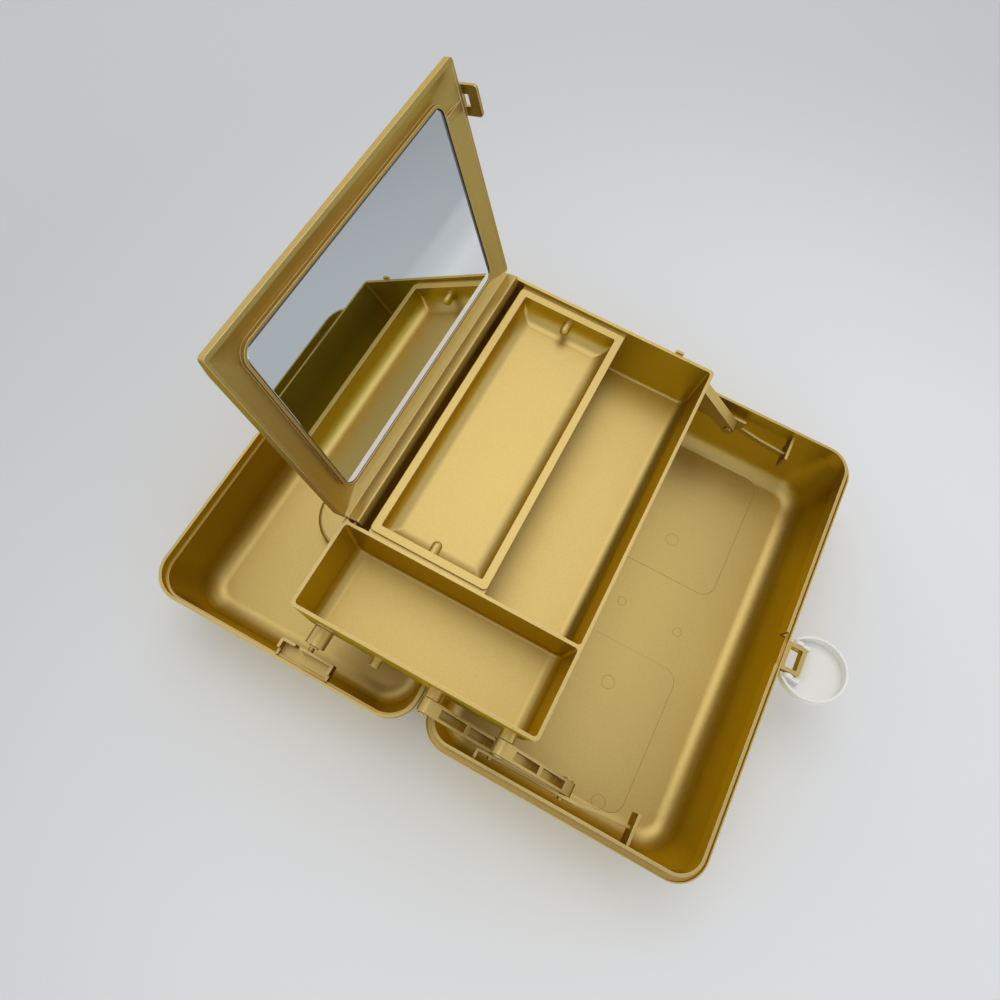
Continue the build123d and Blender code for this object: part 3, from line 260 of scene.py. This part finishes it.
def mould_marks_group():
    """Ejector marks on the case's floors: thin rings of a given radius about fixed centres, which fade out above the
    floor. The mask of a ring is one where the distance from its centre is within its width of the radius."""
    name = "Mould marks"
    if name in bpy.data.node_groups:
        return bpy.data.node_groups[name]
    group, entry, out = new_group(name, [("Width", "NodeSocketFloat", 0.35 * MM)], [("Mask", "NodeSocketFloat")])
    place = node(group, "ShaderNodeTexCoord")
    parts = node(group, "ShaderNodeSeparateXYZ", Vector=place.outputs["Object"])
    flat = node(group, "ShaderNodeCombineXYZ", X=parts.outputs["X"], Y=parts.outputs["Y"])
    total = None
    for x, y, radius in EJECTOR_MARKS:
        away = node(group, "ShaderNodeVectorMath", {"operation": "DISTANCE"}, _0=flat.outputs["Vector"],
                    _1=(x * MM, y * MM, 0.0))
        off = node(group, "ShaderNodeMath", {"operation": "SUBTRACT"}, _0=away.outputs["Value"], _1=radius * MM)
        size = node(group, "ShaderNodeMath", {"operation": "ABSOLUTE"}, _0=off.outputs["Value"])
        ring = node(group, "ShaderNodeMath", {"operation": "LESS_THAN"}, _0=size.outputs["Value"],
                    _1=entry.outputs["Width"])
        total = ring.outputs["Value"] if total is None else node(
            group, "ShaderNodeMath", {"operation": "MAXIMUM"}, _0=total, _1=ring.outputs["Value"]).outputs["Value"]
    low = node(group, "ShaderNodeMath", {"operation": "LESS_THAN"}, _0=parts.outputs["Z"], _1=FLOOR_MARK_TOP)
    mask = node(group, "ShaderNodeMath", {"operation": "MULTIPLY"}, _0=total, _1=low.outputs["Value"])
    group.links.new(mask.outputs["Value"], out.inputs["Mask"])
    return group


def gold_material(name, look, wall, wear_and_highlight, flow_scale):
    """Metallic gold moulding: flake and flow change its colour and roughness, and its edges are rounded and paler,
    partly as rubbed wear and partly as a painted highlight.
    Upright faces take a darker, deeper wall colour as painted shade, and faces that look up at rest stay paler as
    painted light."""
    if name in bpy.data.materials:
        return bpy.data.materials[name]
    colour = tuple(look.gold)
    material, tree, out = new_material(name)
    flake = group_node(tree, flake_group(), Flow_scale=flow_scale)
    edges = group_node(tree, edge_wear_and_highlight_group(), Radius=look.edge_radius)
    scuffs = group_node(tree, scuff_group(), Density=0.3)
    marks = group_node(tree, mould_marks_group())
    deep = tuple(c * k for c, k in zip(colour, (0.90, 0.89, 0.84))) + (1.0,)
    pale = tuple(min(1.0, c * k) for c, k in zip(colour, (1.05, 1.06, 1.10))) + (1.0,)
    place = node(tree, "ShaderNodeTexCoord")
    facing = node(tree, "ShaderNodeSeparateXYZ", Vector=place.outputs["Normal"])
    # Painted shade: upright faces take the darker wall colour, faces that look up keep the paler flow-toned gold.
    upward_lit = node(tree, "ShaderNodeMapRange", {"clamp": True, "interpolation_type": "SMOOTHSTEP"},
                   Value=facing.outputs["Z"], From_Min=0.15, From_Max=0.97)
    flow_toned = mix_colour(tree, "MIX", flake.outputs["Flow"], deep, pale)
    painted_facing_shade = mix_colour(tree, "MIX", upward_lit.outputs["Result"], (*wall, 1.0), flow_toned)
    sparkle = node(tree, "ShaderNodeMapRange", Value=flake.outputs["Flake"], To_Min=0.95, To_Max=1.05)
    spark = node(tree, "ShaderNodeCombineColor", Red=sparkle.outputs["Result"], Green=sparkle.outputs["Result"],
                 Blue=sparkle.outputs["Result"])
    flaked = mix_colour(tree, "MULTIPLY", 1.0, painted_facing_shade, spark.outputs["Color"])
    faint = node(tree, "ShaderNodeMath", {"operation": "MULTIPLY"}, _0=marks.outputs["Mask"], _1=MARK_STRENGTH)
    marked = mix_colour(tree, "MULTIPLY", faint.outputs["Value"], flaked, MARK_COLOUR)
    # Edges made paler: rubbed wear, and a painted highlight where the rounded edges catch the light.
    amount = node(tree, "ShaderNodeMath", {"operation": "MULTIPLY"}, _0=edges.outputs["Mask"], _1=wear_and_highlight)
    worn_and_highlit_colour = mix_colour(tree, "MIX", amount.outputs["Value"], marked, (*look.worn_and_highlit_gold, 1.0))
    rough = node(tree, "ShaderNodeMapRange", Value=flake.outputs["Flow"], To_Min=look.roughness - 0.04,
                 To_Max=look.roughness + 0.05)
    scratched = node(tree, "ShaderNodeMath", {"operation": "MULTIPLY_ADD"}, _0=scuffs.outputs["Mask"], _1=-0.10,
                     _2=rough.outputs["Result"])
    bump = node(tree, "ShaderNodeBump", Strength=0.10, Distance=0.05 * MM, Height=flake.outputs["Grain"],
                Normal=edges.outputs["Normal"])
    shader = node(tree, "ShaderNodeBsdfPrincipled", Base_Color=worn_and_highlit_colour, Roughness=scratched.outputs["Value"],
                  Metallic=look.metal, Normal=bump.outputs["Normal"])
    shader.inputs["Specular Tint"].default_value = (*look.grazing_gold, 1.0)
    tree.links.new(shader.outputs["BSDF"], out.inputs["Surface"])
    return material


def white_material(colour, roughness):
    """Glossy white moulding with a warm tint, faint flow and soft edges."""
    name = "white_latch_plastic"
    if name in bpy.data.materials:
        return bpy.data.materials[name]
    material, tree, out = new_material(name)
    flake = group_node(tree, flake_group(), Flow_scale=30.0)
    edges = group_node(tree, edge_wear_and_highlight_group(), Radius=0.5 * MM)
    scuffs = group_node(tree, scuff_group(), Density=0.6)
    warm = tuple(c * k for c, k in zip(colour, (0.98, 0.97, 0.93))) + (1.0,)
    tint = mix_colour(tree, "MIX", flake.outputs["Flow"], (*colour, 1.0), warm)
    rough = node(tree, "ShaderNodeMath", {"operation": "MULTIPLY_ADD"}, _0=scuffs.outputs["Mask"], _1=0.25,
                 _2=roughness)
    bump = node(tree, "ShaderNodeBump", Strength=0.05, Distance=0.05 * MM, Height=flake.outputs["Grain"],
                Normal=edges.outputs["Normal"])
    shader = node(tree, "ShaderNodeBsdfPrincipled", Base_Color=tint, Roughness=rough.outputs["Value"],
                  Normal=bump.outputs["Normal"])
    shader.inputs["Subsurface Weight"].default_value = 0.08
    shader.inputs["Subsurface Radius"].default_value = (0.004, 0.004, 0.003)
    tree.links.new(shader.outputs["BSDF"], out.inputs["Surface"])
    return material


def span_mask(tree, value, low, high):
    """One where a socket's value lies between two limits, otherwise nought."""
    above = node(tree, "ShaderNodeMath", {"operation": "GREATER_THAN"}, _0=value, _1=low)
    below = node(tree, "ShaderNodeMath", {"operation": "LESS_THAN"}, _0=value, _1=high)
    return node(tree, "ShaderNodeMath", {"operation": "MULTIPLY"}, _0=above.outputs["Value"],
                _1=below.outputs["Value"]).outputs["Value"]


def silver_material(s_low, s_high, y_low, y_high, sizes):
    """Mirror: polished silver behind glass with hairline scuffs and dust, a painted reflection streak in its tint, a
    frosted strip along the hinge side and a painted gap shadow, dark and mottled, along the others.
    The strips are bands of the distance from the hinge axis and along it."""
    name = "mirror_silver"
    if name in bpy.data.materials:
        return bpy.data.materials[name]
    material, tree, out = new_material(name)
    place = node(tree, "ShaderNodeTexCoord")
    cloud = node(tree, "ShaderNodeTexNoise", Vector=place.outputs["Object"], Scale=34.0, Detail=5.0)
    haze = node(tree, "ShaderNodeMapRange", {"clamp": True}, Value=cloud.outputs["Fac"], From_Min=0.52, From_Max=0.8,
                To_Min=0.008, To_Max=0.05)
    scuffs = group_node(tree, scuff_group(), Density=0.25)
    rough = node(tree, "ShaderNodeMath", {"operation": "MULTIPLY_ADD"}, _0=scuffs.outputs["Mask"], _1=0.12,
                 _2=haze.outputs["Result"])
    # Painted reflection: the silver's tint runs in pale and grey streaks that stand for the surroundings it mirrors.
    drawn = node(tree, "ShaderNodeMapping", Vector=place.outputs["Object"], Rotation=(0.0, 0.5, 0.4),
                 Scale=(7.0, 2.2, 20.0))
    streaks = node(tree, "ShaderNodeTexNoise", Vector=drawn.outputs["Vector"], Scale=1.0, Detail=1.5)
    clear = node(tree, "ShaderNodeMapRange", {"clamp": True}, Value=streaks.outputs["Fac"], From_Min=0.42,
                 From_Max=0.58)
    tint = mix_colour(tree, "MIX", clear.outputs["Result"], (0.53, 0.57, 0.585, 1.0), (0.84, 0.865, 0.875, 1.0))
    silver = node(tree, "ShaderNodeBsdfPrincipled", Base_Color=tint, Roughness=rough.outputs["Value"], Metallic=1.0)
    # Distance from the hinge axis, measured up the open lid.
    axis = JOINT["mirror_lid_swing"]
    away = node(tree, "ShaderNodeVectorMath", {"operation": "SUBTRACT"}, _0=place.outputs["Object"],
                _1=(axis.x, 0.0, axis.z))
    up = node(tree, "ShaderNodeVectorMath", {"operation": "DOT_PRODUCT"}, _0=away.outputs["Vector"],
              _1=(math.cos(MIRROR_OPEN), 0.0, math.sin(MIRROR_OPEN)))
    parts = node(tree, "ShaderNodeSeparateXYZ", Vector=place.outputs["Object"])
    frosted = span_mask(tree, up.outputs["Value"], s_low + sizes.bevel, s_low + sizes.bevel + sizes.ground_edge)
    clear_s = span_mask(tree, up.outputs["Value"], s_low - sizes.bevel, s_high - sizes.dark_edge)
    clear_y = span_mask(tree, parts.outputs["Y"], y_low + sizes.dark_edge / 2, y_high - 2 * sizes.dark_edge)
    # Painted shadow: the silver is dark and mottled along the free and side edges, where the gap beside the glass
    # lies in shade.
    shadowed = node(tree, "ShaderNodeMath", {"operation": "MULTIPLY_ADD"}, _0=clear_s, _1=-1.0, _2=1.0)
    shadowed_y = node(tree, "ShaderNodeMath", {"operation": "MULTIPLY_ADD"}, _0=clear_y, _1=-1.0, _2=1.0)
    either = node(tree, "ShaderNodeMath", {"operation": "MAXIMUM"}, _0=shadowed.outputs["Value"],
                  _1=shadowed_y.outputs["Value"])
    shadow_mottle = node(tree, "ShaderNodeTexNoise", Vector=place.outputs["Object"], Scale=1400.0, Detail=2.0)
    dark = mix_colour(tree, "MIX", shadow_mottle.outputs["Fac"], (0.02, 0.02, 0.02, 1.0), (0.16, 0.16, 0.15, 1.0))
    shadowed_silver = node(tree, "ShaderNodeBsdfPrincipled", Base_Color=dark, Roughness=0.5)
    ground = node(tree, "ShaderNodeBsdfPrincipled", Roughness=0.45)
    ground.inputs["Base Color"].default_value = (0.93, 0.94, 0.93, 1.0)
    first = node(tree, "ShaderNodeMixShader", _0=frosted, _1=silver.outputs["BSDF"], _2=ground.outputs["BSDF"])
    second = node(tree, "ShaderNodeMixShader", _0=either.outputs["Value"], _1=first.outputs["Shader"],
                  _2=shadowed_silver.outputs["BSDF"])
    tree.links.new(second.outputs["Shader"], out.inputs["Surface"])
    return material


def dark_material(name, colour, roughness):
    """Foam and shadow-gap material with an open-cell grain."""
    if name in bpy.data.materials:
        return bpy.data.materials[name]
    material, tree, out = new_material(name)
    place = node(tree, "ShaderNodeTexCoord")
    cells = node(tree, "ShaderNodeTexVoronoi", Vector=place.outputs["Object"], Scale=1500.0)
    pale = tuple(c * 1.6 for c in colour) + (1.0,)
    shade = mix_colour(tree, "MIX", cells.outputs["Distance"], (*colour, 1.0), pale)
    bump = node(tree, "ShaderNodeBump", Strength=0.3, Distance=0.1 * MM, Height=cells.outputs["Distance"])
    shader = node(tree, "ShaderNodeBsdfPrincipled", Base_Color=shade, Roughness=roughness,
                  Normal=bump.outputs["Normal"])
    tree.links.new(shader.outputs["BSDF"], out.inputs["Surface"])
    return material


def steel_material():
    """Drawn steel wire: fine lines round the pin and a thin dull skin."""
    name = "steel_pin"
    if name in bpy.data.materials:
        return bpy.data.materials[name]
    material, tree, out = new_material(name)
    place = node(tree, "ShaderNodeTexCoord")
    drawn = node(tree, "ShaderNodeMapping", Vector=place.outputs["Object"], Scale=(1.0, 0.05, 1.0))
    lines = node(tree, "ShaderNodeTexNoise", Vector=drawn.outputs["Vector"], Scale=4000.0, Detail=2.0)
    rough = node(tree, "ShaderNodeMapRange", Value=lines.outputs["Fac"], To_Min=0.22, To_Max=0.42)
    tint = mix_colour(tree, "MIX", lines.outputs["Fac"], (0.52, 0.51, 0.49, 1.0), (0.62, 0.61, 0.60, 1.0))
    shader = node(tree, "ShaderNodeBsdfPrincipled", Base_Color=tint, Roughness=rough.outputs["Result"],
                  Metallic=1.0)
    tree.links.new(shader.outputs["BSDF"], out.inputs["Surface"])
    return material


# --- Settings ----------------------------------------------------------------------------------------------------
class VanityFinish(bpy.types.PropertyGroup):
    """Colours and finish of the mouldings."""
    gold: bpy.props.FloatVectorProperty(
        name="Gold", description="Colour of the metallic gold plastic", subtype="COLOR", size=3,
        default=(0.68, 0.50, 0.18), min=0.0, max=1.0)
    # Painted shade: the darker colour given to the upright walls of case and tray.
    wall_shade_gold: bpy.props.FloatVectorProperty(
        name="Wall gold", description="Colour of the upright walls, where no dust lies", subtype="COLOR", size=3,
        default=(0.65, 0.49, 0.045), min=0.0, max=1.0)
    # Painted shade: the darker colour given to the upright faces of the mirror frame and linkage.
    frame_shade_gold: bpy.props.FloatVectorProperty(
        name="Frame gold", description="Colour of the mirror frame's and the linkage's upright faces",
        subtype="COLOR", size=3, default=(0.47, 0.345, 0.105), min=0.0, max=1.0)
    # Paler edges: rubbed wear, and a painted highlight where the rounded edges catch the light.
    worn_and_highlit_gold: bpy.props.FloatVectorProperty(
        name="Worn gold", description="Colour of rubbed edges", subtype="COLOR", size=3,
        default=(0.90, 0.77, 0.49), min=0.0, max=1.0)
    grazing_gold: bpy.props.FloatVectorProperty(
        name="Grazing gold", description="Tint of the plastic when seen along its surface", subtype="COLOR", size=3,
        default=(0.75, 0.56, 0.15), min=0.0, max=1.0)
    metal: bpy.props.FloatProperty(
        name="Metal", description="Share of metal flake in the plastic", default=1.0, min=0.0, max=1.0,
        subtype="FACTOR")
    white: bpy.props.FloatVectorProperty(
        name="White", description="Colour of the latch", subtype="COLOR", size=3, default=(0.96, 0.96, 0.945),
        min=0.0, max=1.0)
    roughness: bpy.props.FloatProperty(
        name="Roughness", description="Roughness of the gold plastic", default=0.44, min=0.0, max=1.0,
        subtype="FACTOR")
    edge_radius: bpy.props.FloatProperty(
        name="Edge radius", description="Rounding of the moulded edges", default=0.45 * MM, min=0.0, unit="LENGTH")
    crease: bpy.props.FloatProperty(
        name="Crease angle", description="Edges sharper than this stay crisp", default=math.radians(28),
        subtype="ANGLE")


class VanityMirror(bpy.types.PropertyGroup):
    """Sizes of the looking glass in its frame."""
    bevel: bpy.props.FloatProperty(
        name="Bevel", description="Width of the polished edge of the glass", default=0.7 * MM, unit="LENGTH")
    bevel_drop: bpy.props.FloatProperty(
        name="Bevel drop", description="How far the polished edge falls", default=0.5 * MM, unit="LENGTH")
    corner: bpy.props.FloatProperty(
        name="Corner radius", description="Corner radius of the glass", default=7.0 * MM, unit="LENGTH")
    ground_edge: bpy.props.FloatProperty(
        name="Ground edge", description="Width of the frosted strip along the hinge side", default=4.2 * MM,
        unit="LENGTH")
    # Painted shadow: width of the dark strip along the free and side edges of the glass.
    dark_edge: bpy.props.FloatProperty(
        name="Dark edge", description="Width of the aged silver on the other sides", default=1.0 * MM, unit="LENGTH")


class VanityStage(bpy.types.PropertyGroup):
    """Floor, lamps and camera."""
    floor: bpy.props.FloatVectorProperty(
        name="Floor", description="Colour of the floor", subtype="COLOR", size=3, default=(0.93, 0.94, 0.96),
        min=0.0, max=1.0)
    softbox_power: bpy.props.FloatProperty(
        name="Softbox", description="Power of the large lamp overhead", default=3.0, subtype="POWER", unit="POWER")
    softbox_size: bpy.props.FloatProperty(
        name="Softbox size", description="Side of the large lamp", default=0.9, unit="LENGTH")
    sky: bpy.props.FloatProperty(
        name="Sky", description="Strength of the light from all round", default=1.03)
    lens: bpy.props.FloatProperty(
        name="Lens", description="Focal length of the camera", default=24.68, subtype="DISTANCE_CAMERA",
        unit="CAMERA")


# --- Operators ---------------------------------------------------------------------------------------------------
GOLD_CASE = ("base_shell", "lid_shell", "latch_hinge_tab")
GOLD_TRAY = ("tray", "sub_tray")
GOLD_FRAME = ("mirror_frame",)
GOLD_LINKAGE = ("rear_arm_near", "rear_arm_far", "front_arm_near", "front_arm_far", "lid_link_near", "lid_link_far",
                "base_bracket_near", "base_bracket_far", "lid_bracket_near", "lid_bracket_far",
                "arm_base_pins", "arm_tray_pins", "link_pins")
STEEL = ("hinge_pins", "handle_pins", "mirror_hinge_pins")


def dress(name, material, crease):
    """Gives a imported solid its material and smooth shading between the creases."""
    solid = frame["nodes"][name]
    solid.data.materials.clear()
    solid.data.materials.append(material)
    solid.data.polygons.foreach_set("material_index", np.zeros(len(solid.data.polygons), np.int32))
    solid.data.shade_smooth()
    weld = solid.modifiers.new("Join triangles", "WELD")
    weld.merge_threshold = 0.002 * MM
    split_edges(solid, math.degrees(crease))


class VANITY_OT_gold_mouldings(bpy.types.Operator):
    """Finish the gold case, tray, mirror frame and linkage"""
    bl_idname = "vanity.gold_mouldings"
    bl_label = "Gold mouldings"

    def execute(self, context):
        look = context.scene.vanity_finish
        # Material, its solids, the painted shade colour of their upright faces, edge wear with painted edge
        # highlight, and scale of the flow marks.
        groups = (("gold_case", GOLD_CASE, look.wall_shade_gold, 0.9, 7.0),
                  ("gold_tray", GOLD_TRAY, look.wall_shade_gold, 0.9, 11.0),
                  ("gold_frame", GOLD_FRAME, look.frame_shade_gold, 0.9, 13.0),
                  ("gold_linkage", GOLD_LINKAGE, look.frame_shade_gold, 0.8, 24.0))
        for name, solids, wall, wear_and_highlight, flow_scale in groups:
            material = gold_material(name, look, tuple(wall), wear_and_highlight, flow_scale)
            for solid in solids:
                dress(solid, material, look.crease)
        return {"FINISHED"}


class VANITY_OT_pins(bpy.types.Operator):
    """Finish the steel hinge pins"""
    bl_idname = "vanity.pins"
    bl_label = "Pins"

    def execute(self, context):
        for solid in STEEL:
            dress(solid, steel_material(), context.scene.vanity_finish.crease)
        return {"FINISHED"}


class VANITY_OT_latch(bpy.types.Operator):
    """Finish the white latch cap and the carry handle"""
    bl_idname = "vanity.latch"
    bl_label = "Latch and handle"

    def execute(self, context):
        look = context.scene.vanity_finish
        for solid in ("latch_cap", "carry_handle"):
            dress(solid, white_material(tuple(look.white), WHITE_ROUGHNESS), look.crease)
        return {"FINISHED"}


def rounded_outline(half_length, half_width, radius, per_corner):
    """Closed outline of a rounded rectangle about the origin: four quarter circles joined by straight runs."""
    angle = np.linspace(0, math.pi / 2, per_corner)
    quarter = np.arange(4)[:, None] * math.pi / 2
    turn = angle[None, :] + quarter
    centre_s = np.array([1, -1, -1, 1])[:, None] * (half_length - radius)
    centre_y = np.array([1, 1, -1, -1])[:, None] * (half_width - radius)
    s = centre_s + radius * np.cos(turn)
    y = centre_y + radius * np.sin(turn)
    return s.ravel(), y.ravel()


class VANITY_OT_mirror(bpy.types.Operator):
    """Make the bevelled looking glass and finish its foam pad"""
    bl_idname = "vanity.mirror"
    bl_label = "Mirror"

    def execute(self, context):
        sizes = context.scene.vanity_mirror
        finish = context.scene.vanity_finish
        axis = JOINT["mirror_lid_swing"]
        low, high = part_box("mirror_glass")
        solid = np.array([vertex.co for vertex in frame["nodes"]["mirror_glass"].data.vertices])
        s = (solid[:, 0] - axis.x) * math.cos(MIRROR_OPEN) + (solid[:, 2] - axis.z) * math.sin(MIRROR_OPEN)
        n = -(solid[:, 0] - axis.x) * math.sin(MIRROR_OPEN) + (solid[:, 2] - axis.z) * math.cos(MIRROR_OPEN)
        half_s, half_y = (s.max() - s.min()) / 2, (high.y - low.y) / 2
        middle_s, middle_y = (s.max() + s.min()) / 2, (high.y + low.y) / 2
        face, back = n.min(), n.max()
        # Rings from the back of the glass round its edge and over the bevel: (inset, height) of each.
        rings = ((0.3 * MM, back), (0.0, back - 0.3 * MM), (0.0, face + sizes.bevel_drop),
                 (sizes.bevel, face), (sizes.bevel + 0.4 * MM, face))
        points = []
        for inset, height in rings:
            ring_s, ring_y = rounded_outline(half_s - inset, half_y - inset, sizes.corner - inset, 10)
            points.append(lid_point(middle_s + ring_s, middle_y + ring_y, height))
        count = len(points[0])
        faces = grid_faces(len(rings), count, wrap_columns=True)
        caps = [list(range(count)), list(range((len(rings) - 1) * count, len(rings) * count))[::-1]]
        silver = silver_material(s.min(), s.max(), low.y, high.y, sizes)
        glass = add_piece("looking_glass", np.concatenate(points), faces, silver, "mirror_lid", caps)
        recalculate(glass)
        split_edges(glass, 12)
        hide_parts("mirror_glass")
        dress("mirror_pad", dark_material("foam_pad", FOAM_COLOUR, FOAM_ROUGHNESS), finish.crease)
        return {"FINISHED"}


def recalculate(piece):
    """Turns every face of a closed mesh outwards."""
    shape = bmesh.new()
    shape.from_mesh(piece.data)
    bmesh.ops.recalc_face_normals(shape, faces=shape.faces)
    shape.to_mesh(piece.data)
    shape.free()


CAMERA_PLACE = (-66.44 * MM, -147.54 * MM, 478.13 * MM)
CAMERA_YAW = math.radians(-17.18)
CAMERA_DOWN = math.radians(69.43)
CAMERA_ROLL = math.radians(11.41)
SENSOR = 36.0
SOFTBOX_PLACE = (-0.28, 0.36, 1.25)
ZENITH = 0.54                # light from straight above, beside that from eye level
SKY_COLOUR = (0.975, 0.985, 1.0, 1.0)
FLOOR_HALF = 6.0
FLOOR_BRIGHT = (0.20, -0.10, 0.0)
FLOOR_FADE = (0.28, 0.80)   # distances from there over which painted shade makes the floor darker
FLOOR_DIM = 0.74


def camera_turn():
    """Camera axes from its heading, tilt and roll: the view runs along forward, and roll turns right and up."""
    forward = Vector((math.sin(CAMERA_YAW) * math.cos(CAMERA_DOWN), math.cos(CAMERA_YAW) * math.cos(CAMERA_DOWN),
                      -math.sin(CAMERA_DOWN)))
    level = Vector((math.cos(CAMERA_YAW), -math.sin(CAMERA_YAW), 0.0))
    upright = level.cross(forward)
    right = math.cos(CAMERA_ROLL) * level + math.sin(CAMERA_ROLL) * upright
    up = -math.sin(CAMERA_ROLL) * level + math.cos(CAMERA_ROLL) * upright
    return Matrix((right, up, -forward)).transposed()


def floor_material(colour):
    """Pale seamless floor with a very slight unevenness, and painted light and shade: brightest at the front right
    of the case and darker away from there.
    """
    material, tree, out = new_material("pale_floor")
    place = node(tree, "ShaderNodeTexCoord")
    cloud = node(tree, "ShaderNodeTexNoise", Vector=place.outputs["Object"], Scale=2.2, Detail=2.0)
    # Painted light and shade: the floor colour darkens with distance from FLOOR_BRIGHT.
    away = node(tree, "ShaderNodeVectorMath", {"operation": "DISTANCE"}, _0=place.outputs["Object"],
                _1=FLOOR_BRIGHT)
    fade = node(tree, "ShaderNodeMapRange", {"clamp": True, "interpolation_type": "SMOOTHSTEP"},
                Value=away.outputs["Value"], From_Min=FLOOR_FADE[0], From_Max=FLOOR_FADE[1])
    shade = mix_colour(tree, "MIX", cloud.outputs["Fac"], tuple(c * 0.97 for c in colour) + (1.0,), (*colour, 1.0))
    dim = tuple(c * FLOOR_DIM for c in colour) + (1.0,)
    faded = mix_colour(tree, "MIX", fade.outputs["Result"], shade, dim)
    shader = node(tree, "ShaderNodeBsdfPrincipled", Base_Color=faded, Roughness=0.75)
    shader.inputs["Specular IOR Level"].default_value = 0.25
    tree.links.new(shader.outputs["BSDF"], out.inputs["Surface"])
    return material


def make_world(strength):
    """Pale light from all round, weaker from straight above, where the photographer stands."""
    world = bpy.data.worlds.new("Tent")
    world.use_nodes = True
    tree = world.node_tree
    tree.nodes.clear()
    out = tree.nodes.new("ShaderNodeOutputWorld")
    place = node(tree, "ShaderNodeTexCoord")
    parts = node(tree, "ShaderNodeSeparateXYZ", Vector=place.outputs["Generated"])
    ramp = node(tree, "ShaderNodeMapRange", {"clamp": True}, Value=parts.outputs["Z"], From_Min=0.0, From_Max=0.9,
                To_Min=1.0, To_Max=ZENITH)
    level = node(tree, "ShaderNodeMath", {"operation": "MULTIPLY"}, _0=ramp.outputs["Result"], _1=strength)
    back = node(tree, "ShaderNodeBackground", Color=SKY_COLOUR, Strength=level.outputs["Value"])
    tree.links.new(back.outputs["Background"], out.inputs["Surface"])
    bpy.context.scene.world = world


def hang_softbox(scene, size, power):
    """Large square lamp above the case, turned towards the origin."""
    lamp = bpy.data.lights.new("Softbox", "AREA")
    lamp.shape, lamp.size, lamp.energy = "SQUARE", size, power
    softbox = bpy.data.objects.new("Softbox", lamp)
    softbox.location = SOFTBOX_PLACE
    softbox.rotation_mode = "QUATERNION"
    softbox.rotation_quaternion = (-Vector(SOFTBOX_PLACE)).to_track_quat("-Z", "Y")
    scene.collection.objects.link(softbox)


def place_camera(scene, focal_length):
    """Camera at the photograph's place, heading, tilt and roll."""
    lens = bpy.data.cameras.new("Camera")
    lens.lens, lens.sensor_width, lens.sensor_fit = focal_length, SENSOR, "HORIZONTAL"
    lens.clip_start, lens.clip_end = 0.01, 50.0
    camera = bpy.data.objects.new("Camera", lens)
    camera.matrix_world = Matrix.Translation(CAMERA_PLACE) @ camera_turn().to_4x4()
    scene.collection.objects.link(camera)
    scene.camera = camera


class VANITY_OT_stage(bpy.types.Operator):
    """Lay the floor, hang the lamps and set the camera"""
    bl_idname = "vanity.stage"
    bl_label = "Stage"

    def execute(self, context):
        stage = context.scene.vanity_stage
        scene = context.scene
        steps = np.linspace(-FLOOR_HALF, FLOOR_HALF, 9)
        x, y = np.meshgrid(steps, steps, indexing="ij")
        points = np.stack([x, y, np.full_like(x, -0.1 * MM)], axis=-1)
        floor = add_piece("floor", points, grid_faces(9, 9)[:, ::-1], floor_material(tuple(stage.floor)), None)
        hang_softbox(scene, stage.softbox_size, stage.softbox_power)
        make_world(stage.sky)
        place_camera(scene, stage.lens)
        scene.view_settings.view_transform = "Standard"
        return {"FINISHED"}


class VANITY_PT_panel(bpy.types.Panel):
    """Lists the steps that dress the case"""
    bl_idname = "VANITY_PT_panel"
    bl_label = "Vanity Box"
    bl_space_type = "VIEW_3D"
    bl_region_type = "UI"
    bl_category = "Vanity Box"

    def draw(self, context):
        for step in STEPS:
            self.layout.operator(step.bl_idname)
        for name in SETTINGS:
            box = self.layout.box()
            group = getattr(context.scene, name)
            for prop in group.bl_rna.properties:
                if prop.identifier not in ("rna_type", "name"):
                    box.prop(group, prop.identifier)


SETTINGS = {"vanity_finish": VanityFinish, "vanity_mirror": VanityMirror, "vanity_stage": VanityStage}
STEPS = (VANITY_OT_gold_mouldings, VANITY_OT_pins, VANITY_OT_latch, VANITY_OT_mirror, VANITY_OT_stage)


def register():
    for group in SETTINGS.values():
        bpy.utils.register_class(group)
    for step in (*STEPS, VANITY_PT_panel):
        bpy.utils.register_class(step)
    for name, group in SETTINGS.items():
        setattr(bpy.types.Scene, name, bpy.props.PointerProperty(type=group))


def unregister():
    for name in SETTINGS:
        delattr(bpy.types.Scene, name)
    for made in (VANITY_PT_panel, *reversed(STEPS), *SETTINGS.values()):
        bpy.utils.unregister_class(made)


def main():
    register()
    for step in STEPS:
        group, name = step.bl_idname.split(".")
        getattr(getattr(bpy.ops, group), name)()


if __name__ == "__main__":
    main()
